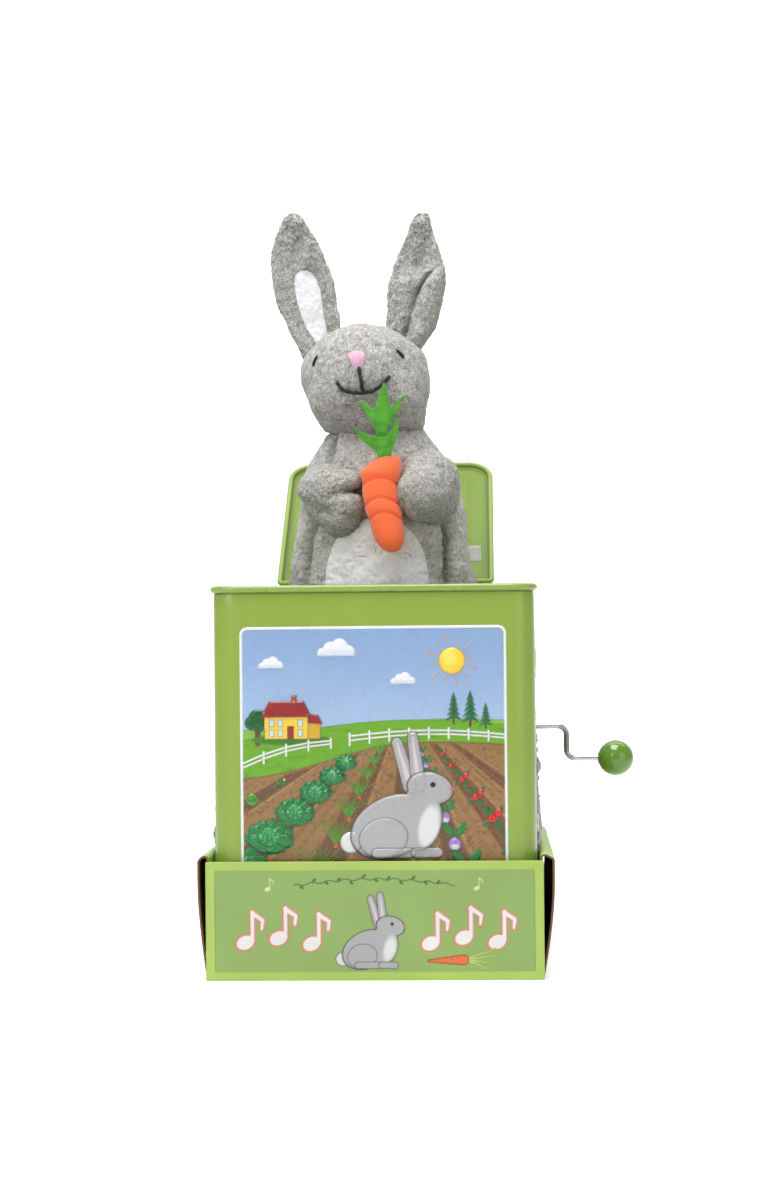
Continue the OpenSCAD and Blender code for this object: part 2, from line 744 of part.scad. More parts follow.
display_tray();
tin_shell();
tin_base();
top_frame();
hinge_pin();
lid();
lid_catch();
catch_rivets();
latch_bar();
latch_pivot();
latch_spring();
trip_lever();
trip_pivot();
crank_bushing();
crank_rod();
crank_knob();
crank_pinion();
movement_base();
movement_cover();
cover_screws();
wall_rivets();
drum_axle();
music_drum();
drum_gear();
release_cam();
comb();
comb_screws();
spring_base();
spring_rivets();
main_spring();
spring_cap();
body_cloth();
belly_patch();
head();
ear_left();
ear_right();
ear_lining_left();
ear_lining_right();
arm_left();
arm_right();
carrot();
leaf_upper();
leaf_lower();
nose();
eyes();
mouth();
side_tag();
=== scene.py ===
"""Looks of a jack in the box: a printed tin box, a plush rabbit on a spring and a card tray.

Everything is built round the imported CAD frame. Lengths are in millimetres; build() turns them
into metres. Colours are written as the sRGB values one would pick on a screen.
"""

import itertools
import json
import math

import bmesh
import bpy
import numpy as np
from mathutils import Matrix, Vector
from mathutils.bvhtree import BVHTree


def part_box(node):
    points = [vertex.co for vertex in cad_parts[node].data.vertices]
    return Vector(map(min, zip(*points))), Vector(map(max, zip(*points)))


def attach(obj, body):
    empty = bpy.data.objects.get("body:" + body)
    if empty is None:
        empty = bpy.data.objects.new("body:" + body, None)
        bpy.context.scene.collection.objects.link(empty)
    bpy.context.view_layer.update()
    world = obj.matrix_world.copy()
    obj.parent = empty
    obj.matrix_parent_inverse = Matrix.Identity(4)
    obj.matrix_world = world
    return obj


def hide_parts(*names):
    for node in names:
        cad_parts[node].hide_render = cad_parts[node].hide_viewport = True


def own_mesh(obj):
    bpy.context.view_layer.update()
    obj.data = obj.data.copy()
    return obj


MM = 0.001
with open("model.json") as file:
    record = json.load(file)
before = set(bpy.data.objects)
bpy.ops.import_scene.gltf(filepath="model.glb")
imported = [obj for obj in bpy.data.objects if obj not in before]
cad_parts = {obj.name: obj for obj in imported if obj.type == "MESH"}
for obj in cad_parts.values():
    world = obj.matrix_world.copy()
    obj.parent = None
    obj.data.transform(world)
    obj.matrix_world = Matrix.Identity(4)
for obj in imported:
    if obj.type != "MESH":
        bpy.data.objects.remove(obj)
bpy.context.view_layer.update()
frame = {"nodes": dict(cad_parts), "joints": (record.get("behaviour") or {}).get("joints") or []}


# ---------------------------------------------------------------- places read from the frame


def cad_box(node):
    """Lowest and highest corner of a CAD node, in millimetres."""
    low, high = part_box(node)
    return np.array(low) / MM, np.array(high) / MM


def joint(name):
    """The frame's joint of that name."""
    return next(j for j in frame["joints"] if j["name"] == name)


TRAY_LOW, TRAY_HIGH = cad_box("display_tray")
BASE_LOW, BASE_HIGH = cad_box("tin_base")
HEAD_LOW, HEAD_HIGH = cad_box("head")
CARROT_LOW = cad_box("carrot")[0]

HINGE_Y, HINGE_Z = (v / MM for v in joint("lid_swing")["pos_m"][1:])
LID_OPEN = joint("lid_swing")["range_deg"][1]
CRANK_Z = joint("crank_turn")["pos_m"][2] / MM

HALF = cad_box("tin_shell")[1][0]  # half the width of the tin's body
CORNER = 10.0
SHEET = 0.4
SEAM_R = 1.5
PLATE_TOP = HINGE_Z - 1.8
RIM_TOP = PLATE_TOP + 1.0
RIM_HALF = cad_box("top_frame")[1][0]
OPENING = 96.0
OPENING_Y = 1.0
OPENING_CORNER = 12.0
CURL_R = 0.8
LID_WIDTH = 104.0
LID_CORNER = 13.0
LID_HEEL = 2.6
LID_TOP = HINGE_Z + 0.8
LID_FRONT = -50.0
LID_BACK = HINGE_Y - 2.3
HEM_R = 1.2


# ---------------------------------------------------------------- numbers and noise


def noise3(points, seed=0.0):
    """Smooth value noise from -1 to 1, one cell per unit."""
    cell = np.floor(points)
    part = points - cell
    part = part * part * (3 - 2 * part)
    total = np.zeros(len(points))
    for corner in itertools.product((0, 1), repeat=3):
        dots = (cell + corner) @ np.array((127.1, 311.7, 74.7)) + seed * 19.19
        value = np.sin(dots) * 43758.5453
        value = (value - np.floor(value)) * 2 - 1
        total += value * np.prod(np.where(corner, part, 1 - part), axis=1)
    return total


def fbm(points, size, octaves=3, seed=0.0):
    """Layered noise whose largest lumps are about size across."""
    total = np.zeros(len(points))
    for level in range(octaves):
        total += noise3(points * 2**level / size, seed + level) / 2**level
    return total


def smooth(low, high, value):
    """Smooth step from 0 at low to 1 at high, whichever of the two is larger."""
    t = np.clip((value - low) / (high - low), 0, 1)
    return t * t * (3 - 2 * t)


def bell(value, width):
    """Rounded bump, 1 where value is 0."""
    return np.exp(-((value / width) ** 2))


def curve_through(points, count):
    """Catmull-Rom curve through points, as count + 1 points."""
    points = np.asarray(points, float)
    padded = np.vstack((2 * points[0] - points[1], points, 2 * points[-1] - points[-2]))
    place = np.linspace(0, len(points) - 1, count + 1)
    cell = np.minimum(place.astype(int), len(points) - 2)
    t = (place - cell)[:, None]
    p0, p1, p2, p3 = (padded[cell + k] for k in range(4))
    return 0.5 * (
        2 * p1
        + (p2 - p0) * t
        + (2 * p0 - 5 * p1 + 4 * p2 - p3) * t**2
        + (3 * p1 - p0 - 3 * p2 + p3) * t**3
    )


def profile(table, value):
    """Smoothly interpolates a short table of (place, size) pairs."""
    table = np.asarray(table, float)
    fine = curve_through(table, 20 * (len(table) - 1))
    return np.interp(value, fine[:, 0], fine[:, 1])


def srgb(red, green, blue):
    """Screen colour, 0 to 255, as the linear colour that Blender uses."""
    c = np.array((red, green, blue)) / 255
    return np.where(c <= 0.04045, c / 12.92, ((c + 0.055) / 1.055) ** 2.4)


# ---------------------------------------------------------------- meshes


def build(name, verts, faces, material, sharp=35, paint=None):
    """Makes a mesh object from millimetre points; paint is a linear colour per point."""
    mesh = bpy.data.meshes.new(name)
    mesh.from_pydata((np.asarray(verts, float) * MM).tolist(), [], list(map(list, faces)))
    mesh.validate()
    mesh.shade_smooth()
    if sharp:
        mesh.set_sharp_from_angle(angle=math.radians(sharp))
    if paint is not None:
        layer = mesh.color_attributes.new("Print", "FLOAT_COLOR", "POINT")
        layer.data.foreach_set("color", np.c_[paint, np.ones(len(paint))].ravel())
    mesh.materials.append(material)
    obj = bpy.data.objects.new(name, mesh)
    bpy.context.scene.collection.objects.link(obj)
    return obj


def grid_faces(rows, columns, wrap=False, close=False):
    """Quads of a grid of points; wrap joins the last column to the first, close the rows."""
    row = np.arange(rows if close else rows - 1)
    column = np.arange(columns if wrap else columns - 1)
    r, c = (a.ravel() for a in np.meshgrid(row, column, indexing="ij"))
    r2, c2 = (r + 1) % rows, (c + 1) % columns
    return np.c_[r * columns + c, r * columns + c2, r2 * columns + c2, r2 * columns + c]


def loft(name, rings, material, loop=False, sharp=35):
    """Skin over equal rings of points, capped, unless loop joins its two ends."""
    count = len(rings[0])
    faces = grid_faces(len(rings), count, wrap=True, close=loop).tolist()
    if not loop:
        faces.append(list(range(count))[::-1])
        faces.append([(len(rings) - 1) * count + k for k in range(count)])
    return build(name, np.vstack(rings), faces, material, sharp)


def rounded_ring(width, depth, corner, z, mid_y=0.0, steps=14, back=None):
    """Points of a level rounded rectangle, anticlockwise; back rounds its +Y corners."""
    turn = np.linspace(0, math.pi / 2, steps + 1)
    back = corner if back is None else back
    parts = []
    for quarter, (sx, sy) in enumerate(((1, 1), (-1, 1), (-1, -1), (1, -1))):
        a = turn + quarter * math.pi / 2
        r = back if sy > 0 else corner
        x = sx * (width / 2 - r) + r * np.cos(a)
        y = mid_y + sy * (depth / 2 - r) + r * np.sin(a)
        parts.append(np.c_[x, y, np.full(len(a), z)])
    return np.vstack(parts)


def tube(path, radius, sides=12):
    """Rings of points round a path; radius may be one number or one per point."""
    path = np.asarray(path, float)
    radius = np.broadcast_to(radius, len(path))
    ahead = np.roll(path, -1, 0) - np.roll(path, 1, 0)
    ahead[0], ahead[-1] = path[1] - path[0], path[-1] - path[-2]
    ahead /= np.linalg.norm(ahead, axis=1)[:, None]
    side = np.cross(ahead[0], (0, 0, 1) if abs(ahead[0][2]) < 0.9 else (1, 0, 0))
    rings = []
    for centre, along, r in zip(path, ahead, radius):
        side = side - along * (side @ along)
        side /= np.linalg.norm(side)
        up = np.cross(along, side)
        a = np.linspace(0, 2 * math.pi, sides, endpoint=False)[:, None]
        rings.append(centre + r * (np.cos(a) * side + np.sin(a) * up))
    return rings


def merge(parts):
    """Joins (points, faces) pairs into one pair."""
    verts, faces, start = [], [], 0
    for points, quads in parts:
        verts.append(points)
        faces += [[start + i for i in face] for face in quads]
        start += len(points)
    return np.vstack(verts), faces


def tube_part(path, radius, sides=8):
    """A capped tube as (points, faces), ready to merge."""
    rings = tube(path, radius, sides)
    faces = grid_faces(len(rings), sides, wrap=True).tolist()
    faces.append(list(range(sides))[::-1])
    faces.append([(len(rings) - 1) * sides + k for k in range(sides)])
    return np.vstack(rings), faces


def turn_x(points, degrees, y, z):
    """Turns points about the X-wise line through y, z."""
    a = math.radians(degrees)
    p = np.asarray(points, float) - (0, y, z)
    out = np.c_[
        p[:, 0],
        p[:, 1] * math.cos(a) - p[:, 2] * math.sin(a),
        p[:, 1] * math.sin(a) + p[:, 2] * math.cos(a),
    ]
    return out + (0, y, z)


def globe(detail):
    """Even directions over a sphere, as (unit points, triangles)."""
    mesh = bmesh.new()
    bmesh.ops.create_icosphere(mesh, subdivisions=detail, radius=1.0)
    mesh.verts.ensure_lookup_table()
    points = np.array([v.co for v in mesh.verts])
    faces = [[v.index for v in f.verts] for f in mesh.faces]
    mesh.free()
    return points / np.linalg.norm(points, axis=1)[:, None], faces


def ellipsoid(p, centre, radii, lean=0.0):
    """Signed distance to an ellipsoid, roughly; lean turns it about the Y axis, in degrees."""
    q = p - np.asarray(centre, float)
    if lean:
        a = math.radians(lean)
        q = np.c_[
            q[:, 0] * math.cos(a) - q[:, 2] * math.sin(a),
            q[:, 1],
            q[:, 0] * math.sin(a) + q[:, 2] * math.cos(a),
        ]
    radii = np.asarray(radii, float)
    k0 = np.linalg.norm(q / radii, axis=1)
    k1 = np.linalg.norm(q / radii**2, axis=1)
    return k0 * (k0 - 1) / np.maximum(k1, 1e-9)


def soft_join(a, b, blend):
    """Joins two distances with a rounded crease."""
    h = np.clip(0.5 + 0.5 * (b - a) / blend, 0, 1)
    return b + (a - b) * h - blend * h * (1 - h)


def blob(centre, field, reach, detail=6):
    """Surface of a rounded solid, found by casting outwards from its centre."""
    directions, faces = globe(detail)
    low = np.zeros(len(directions))
    high = np.full(len(directions), float(reach))
    for _ in range(22):
        middle = (low + high) / 2
        inside = field(centre + directions * middle[:, None]) < 0
        low = np.where(inside, middle, low)
        high = np.where(inside, high, middle)
    return centre + directions * low[:, None], faces


def normals_of(points, faces):
    """Unit normals of a closed triangle mesh, one per point."""
    tris = np.array(faces)
    a, b, c = (points[tris[:, k]] for k in range(3))
    flat = np.cross(b - a, c - a)
    total = np.zeros_like(points)
    for k in range(3):
        np.add.at(total, tris[:, k], flat)
    return total / np.maximum(np.linalg.norm(total, axis=1), 1e-12)[:, None]


# ---------------------------------------------------------------- materials


class Finish:
    """Wires one procedural material. Sizes of patterns are in millimetres on the object."""

    def __init__(self, name, roughness=0.5, metallic=0.0, **inputs):
        self.material = bpy.data.materials.new(name)
        self.material.use_nodes = True
        self.tree = self.material.node_tree
        self.shader = self.tree.nodes["Principled BSDF"]
        self.place = self.node("ShaderNodeTexCoord").outputs["Object"]
        self.normal = None
        self.set(Roughness=roughness, Metallic=metallic, **inputs)

    def node(self, kind, **settings):
        made = self.tree.nodes.new(kind)
        for key, value in settings.items():
            setattr(made, key, value)
        return made

    def feed(self, socket, value):
        """Connects value if it is a socket, or else types it in."""
        if isinstance(value, bpy.types.NodeSocket):
            self.tree.links.new(value, socket)
        elif socket.type == "RGBA" and not isinstance(value, (int, float)):
            socket.default_value = (*value[:3], 1)
        else:
            socket.default_value = value

    def set(self, **inputs):
        for key, value in inputs.items():
            self.feed(self.shader.inputs[key.replace("_", " ")], value)

    def noise(self, size, detail=2.0, stretch=(1, 1, 1), rough=0.5, twist=0.0):
        mapping = self.node("ShaderNodeMapping")
        self.feed(mapping.inputs["Vector"], self.place)
        mapping.inputs["Scale"].default_value = stretch
        made = self.node("ShaderNodeTexNoise")
        self.feed(made.inputs["Vector"], mapping.outputs[0])
        self.feed(made.inputs["Scale"], 1 / (size * MM))
        self.feed(made.inputs["Detail"], detail)
        self.feed(made.inputs["Roughness"], rough)
        self.feed(made.inputs["Distortion"], twist)
        return made.outputs["Fac"]

    def cells(self, size):
        made = self.node("ShaderNodeTexVoronoi")
        self.feed(made.inputs["Vector"], self.place)
        self.feed(made.inputs["Scale"], 1 / (size * MM))
        return made.outputs["Distance"]

    def wave(self, size, axis="Z"):
        made = self.node("ShaderNodeTexWave", bands_direction=axis)
        self.feed(made.inputs["Vector"], self.place)
        self.feed(made.inputs["Scale"], 0.314 / (size * MM))
        self.feed(made.inputs["Distortion"], 0.6)
        return made.outputs["Fac"]

    def ramp(self, value, *stops):
        made = self.node("ShaderNodeValToRGB")
        self.feed(made.inputs["Fac"], value)
        elements = made.color_ramp.elements
        while len(elements) < len(stops):
            elements.new(0.5)
        for element, (place, colour) in zip(elements, stops):
            element.position = place
            grey = isinstance(colour, (int, float))
            element.color = (colour, colour, colour, 1) if grey else (*colour, 1)
        return made.outputs["Color"]

    def span(self, value, low, high):
        """Maps 0..1 to low..high."""
        made = self.node("ShaderNodeMapRange")
        self.feed(made.inputs["Value"], value)
        made.inputs["To Min"].default_value = low
        made.inputs["To Max"].default_value = high
        return made.outputs["Result"]

    def mix(self, share, a, b, mode="MIX"):
        made = self.node("ShaderNodeMix", data_type="RGBA", blend_type=mode)
        self.feed(made.inputs["Factor"], share)
        self.feed(made.inputs[6], a)
        self.feed(made.inputs[7], b)
        return made.outputs[2]

    def math(self, kind, a, b):
        made = self.node("ShaderNodeMath", operation=kind)
        self.feed(made.inputs[0], a)
        self.feed(made.inputs[1], b)
        return made.outputs[0]

    def facing_up(self):
        """1 where the surface faces up, 0 where it faces the floor."""
        split = self.node("ShaderNodeSeparateXYZ")
        self.feed(split.inputs[0], self.node("ShaderNodeNewGeometry").outputs["Normal"])
        return self.math("ADD", self.math("MULTIPLY", split.outputs["Z"], 0.5), 0.5)

    def bump(self, height, depth):
        """Adds relief that is depth millimetres deep."""
        made = self.node("ShaderNodeBump")
        made.inputs["Distance"].default_value = depth * MM
        self.feed(made.inputs["Height"], height)
        if self.normal:
            self.feed(made.inputs["Normal"], self.normal)
        self.normal = made.outputs["Normal"]
        self.feed(self.shader.inputs["Normal"], self.normal)

    def attribute(self, name):
        return self.node("ShaderNodeAttribute", attribute_name=name).outputs["Color"]


def enamel(name, colour=None, gloss=0.3, coat=0.35):
    """Lithographed tinplate: print under a clear coat, with faint dents and orange peel."""
    f = Finish(name, Coat_Weight=coat, Coat_Roughness=0.12)
    base = f.attribute("Print") if colour is None else colour
    tone = f.span(f.noise(35, 2), 0.93, 1.06)
    speck = f.span(f.noise(0.35, 1), 0.97, 1.03)
    shade = f.node("ShaderNodeCombineColor")
    level = f.math("MULTIPLY", tone, speck)
    for channel in ("Red", "Green", "Blue"):
        f.feed(shade.inputs[channel], level)
    f.set(Base_Color=f.mix(1.0, base, shade.outputs[0], "MULTIPLY"))
    f.set(Roughness=f.span(f.noise(9, 3), gloss - 0.06, gloss + 0.1))
    f.bump(f.noise(22, 1), 0.12)
    f.bump(f.noise(0.7, 2), 0.004)
    return f.material


def steel(name, tint=(0.62, 0.63, 0.64), rough=0.32, grain=(1, 1, 14), painted_reflections=False):
    """Plated or ground steel with fine drawn grain; the last option adds a painted reflection: dark and
    bright bands by how far the surface faces up, dark where it faces straight down, sideways or straight
    up.
    """
    f = Finish(name, metallic=1.0)
    stain = f.noise(5, 3)
    scratch = f.noise(0.5, 3, grain)
    dark = tuple(0.72 * c for c in tint)
    colour = f.mix(f.span(stain, 0.0, 0.55), tint, dark)
    if painted_reflections:
        # Painted reflection: dark and bright bands by how far the surface faces up, as on chrome in a white
        # room.
        reflection_bands = ((0.02, 0.3), (0.16, 1.0), (0.36, 0.9), (0.5, 0.3), (0.62, 0.95), (0.84, 1.0), (0.98, 0.3))
        shade = f.ramp(f.facing_up(), *reflection_bands)
        colour = f.mix(1.0, colour, shade, "MULTIPLY")
    f.set(Base_Color=colour)
    f.set(Roughness=f.span(scratch, rough - 0.1, rough + 0.14))
    f.bump(scratch, 0.01)
    return f.material


def plastic(name, colour, rough=0.45):
    """Moulded plastic: slight mottling and a fine texture."""
    f = Finish(name)
    dark = tuple(0.86 * c for c in colour)
    f.set(Base_Color=f.mix(f.span(f.noise(4, 3), 0.1, 0.7), colour, dark))
    f.set(Roughness=f.span(f.noise(1.5, 3), rough - 0.08, rough + 0.12))
    f.bump(f.cells(0.35), 0.02)
    return f.material


def lacquer(name, colour):
    """Glossy dipped lacquer of the crank's ball."""
    f = Finish(name, Coat_Weight=0.8, Coat_Roughness=0.05)
    dark = tuple(0.8 * c for c in colour)
    f.set(Base_Color=f.mix(f.span(f.noise(7, 2), 0.2, 0.8), colour, dark))
    f.set(Roughness=f.span(f.noise(2.5, 3), 0.14, 0.26))
    f.bump(f.noise(3.5, 2), 0.03)
    f.bump(f.noise(0.5, 1), 0.002)
    return f.material


def plush(name, dark, middle, light, fleck=0.9, underside_shade=0.5):
    """Short curly pile: mixed light and dark fibres, with painted shade that darkens the faces looking
    down, as under a light from above.
    """
    f = Finish(name, roughness=0.95, Sheen_Weight=0.3, Sheen_Roughness=0.45)
    f.set(Sheen_Tint=(0.95, 0.95, 0.93))
    curl = f.noise(fleck, 3, (1, 1, 0.85), 0.7, twist=1.7)
    clump = f.noise(3.2, 2)
    blend = f.math("ADD", f.math("MULTIPLY", curl, 0.84), f.math("MULTIPLY", clump, 0.16))
    fibres = f.ramp(blend, (0.36, dark), (0.5, middle), (0.64, light))
    # Painted shade: the colour darkens as the surface turns to face the floor.
    lie = f.ramp(f.facing_up(), (0.08, underside_shade), (0.45, 0.55 + 0.45 * underside_shade), (0.8, 1.0))
    f.set(Base_Color=f.mix(1.0, fibres, lie, "MULTIPLY"))
    f.bump(f.noise(2.2, 3), 0.4)
    f.bump(curl, 0.45)
    return f.material


def knit(name, colour):
    """Brushed knit of the carrot: soft, with a fine nap and a hint of rows."""
    f = Finish(name, roughness=0.9, Sheen_Weight=0.4, Sheen_Roughness=0.5)
    dark = tuple(c * s for c, s in zip(colour, (0.92, 0.74, 0.7)))
    nap = f.noise(0.45, 3, (1, 1, 1), 0.7)
    f.set(Base_Color=f.mix(f.span(nap, 0.0, 0.65), colour, dark))
    f.bump(f.wave(0.5, "Z"), 0.03)
    f.bump(nap, 0.08)
    return f.material


def felt(name, dark, light):
    """Pressed felt: matted fibres in every direction."""
    f = Finish(name, roughness=0.95, Sheen_Weight=0.3)
    fibre = f.noise(0.5, 5, (1, 1, 1), 0.8)
    patch = f.noise(4, 2)
    blend = f.math("ADD", f.math("MULTIPLY", fibre, 0.65), f.math("MULTIPLY", patch, 0.35))
    f.set(Base_Color=f.ramp(blend, (0.35, dark), (0.62, light)))
    f.bump(fibre, 0.16)
    return f.material


def thread(name, dark, light):
    """Embroidery thread: a silky twist."""
    f = Finish(name, roughness=0.55, Sheen_Weight=0.08, Sheen_Roughness=0.3)
    strand = f.noise(0.22, 3, (2.5, 1, 0.6))
    f.set(Base_Color=f.ramp(strand, (0.35, dark), (0.6, light)))
    f.bump(strand, 0.05)
    return f.material


def card(name, colour=None):
    """Coated card under a satin varnish: print, with a little board texture."""
    f = Finish(name, Coat_Weight=0.12, Coat_Roughness=0.35)
    base = f.attribute("Print") if colour is None else colour
    tone = f.ramp(f.noise(28, 2), (0.3, 0.9), (0.7, 1.0))
    f.set(Base_Color=f.mix(1.0, base, tone, "MULTIPLY"))
    f.set(Roughness=f.span(f.noise(3, 3), 0.42, 0.55))
    f.bump(f.noise(16, 2), 0.12)
    f.bump(f.noise(1.2, 3), 0.008)
    return f.material


def kraft(name, corrugated=False, shade=1.0):
    """Bare brown board, with fibres and, on a cut edge, layers."""
    f = Finish(name, roughness=0.92)
    fibre = f.noise(0.9, 5, (1, 1, 4), 0.75)
    low, high = srgb(96, 66, 40) * shade, srgb(168, 128, 86) * shade
    f.set(Base_Color=f.ramp(fibre, (0.32, low), (0.66, high)))
    f.bump(fibre, 0.1)
    if corrugated:
        f.bump(f.wave(0.9, "X"), 0.15)
    return f.material


def timber(name):
    """Turned softwood with close grain."""
    f = Finish(name, roughness=0.6)
    grain = f.noise(1.4, 4, (1, 0.12, 1), 0.6)
    f.set(Base_Color=f.ramp(grain, (0.35, srgb(150, 104, 60)), (0.65, srgb(206, 166, 112))))
    f.bump(grain, 0.05)
    return f.material


def ribbon(name):
    """Woven satin ribbon: fine crossing threads."""
    f = Finish(name, roughness=0.6, Sheen_Weight=0.2)
    weave = f.math("MULTIPLY", f.wave(0.35, "X"), f.wave(0.35, "Z"))
    f.set(Base_Color=f.ramp(weave, (0.0, srgb(214, 214, 212)), (0.8, srgb(246, 246, 244))))
    f.bump(weave, 0.05)
    return f.material


TIN_GREEN = (145, 173, 68)
GREEN = srgb(*TIN_GREEN)
SEAM = srgb(146, 170, 80)
FINISHES = {
    "tin": enamel("tin_enamel", GREEN),
    "print": enamel("tin_print", gloss=0.26),
    "seam": enamel("seam_enamel", SEAM, 0.26),
    # Darker green for the band just under the rim: painted shadow of the rim's overhang.
    "groove": enamel("painted_rim_shadow", srgb(104, 130, 44), 0.4, 0.1),
    "lid": enamel("lid_enamel", gloss=0.5, coat=0.05),
    "inside": steel("bare_tinplate", (0.5, 0.51, 0.5), 0.42, (1, 1, 3)),
    "steel": steel("plated_steel"),
    "bright": steel("bright_steel", (0.9, 0.9, 0.92), 0.2, (10, 1, 1), painted_reflections=True),
    "spring": steel("spring_steel", (0.42, 0.43, 0.45), 0.3, (1, 1, 1)),
    "comb": steel("comb_steel", (0.68, 0.69, 0.72), 0.26, (14, 1, 1)),
    "brass": steel("drum_brass", (0.78, 0.55, 0.22), 0.26, (8, 1, 1)),
    "knob": lacquer("knob_lacquer", srgb(104, 150, 36)),
    "black": plastic("movement_black", srgb(52, 55, 60)),
    "ivory": plastic("gear_ivory", srgb(232, 227, 208), 0.4),
    "red": plastic("cam_red", srgb(178, 50, 42), 0.4),
    "fur": plush("grey_fur", srgb(106, 102, 94), srgb(182, 180, 174), srgb(240, 239, 235)),
    # The next two are copies of the grey fur: the arms' one darker, painted shade, and the sleeve's one
    # lighter, painted light.
    "shaded_arm_fur": plush("shaded_arm_fur", srgb(104, 101, 93), srgb(172, 170, 163), srgb(224, 223, 218)),
    "lit_sleeve_fur": plush("lit_sleeve_fur", srgb(128, 125, 116), srgb(200, 198, 192), srgb(240, 239, 235)),
    "white_fur": plush("white_fur", srgb(234, 234, 238), srgb(246, 246, 249), srgb(255, 255, 255),
                       1.4, 0.88),
    "carrot": knit("carrot_knit", srgb(255, 114, 60)),
    "leaf": felt("leaf_felt", srgb(46, 122, 30), srgb(100, 184, 56)),
    "pink": thread("pink_thread", srgb(186, 138, 164), srgb(242, 202, 222)),
    "black_thread": thread("black_thread", srgb(8, 8, 10), srgb(26, 26, 31)),
    "card": card("tray_card", srgb(176, 208, 110)),
    "card_print": card("tray_print"),
    "kraft": kraft("tray_kraft"),
    "kraft_edge": kraft("tray_edge", corrugated=True, shade=0.75),
    "wood": timber("cap_wood"),
    "ribbon": ribbon("tag_ribbon"),
}

CAD_FINISH = {
    "steel": "hinge_pin lid_catch catch_rivets latch_bar latch_pivot latch_spring trip_lever"
    " trip_pivot crank_bushing cover_screws drum_axle comb_screws spring_base spring_rivets",
    "black": "movement_base movement_cover",
    "ivory": "crank_pinion drum_gear",
    "red": "release_cam",
    "brass": "music_drum",
    "comb": "comb",
    "seam": "wall_rivets",
    "wood": "spring_cap",
}


def dress_cad_nodes():
    """Gives the CAD nodes that are shown as they are their finishes."""
    for finish, names in CAD_FINISH.items():
        for name in names.split():
            node = frame["nodes"][name]
            node.data.materials.clear()
            node.data.materials.append(FINISHES[finish])


def place(obj, body, nodes="", slot=None):
    """Rides obj on its CAD body, and lets it stand for CAD nodes."""
    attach(obj, body)
    if nodes:
        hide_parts(*nodes.split())
    return obj


# ---------------------------------------------------------------- printed pictures


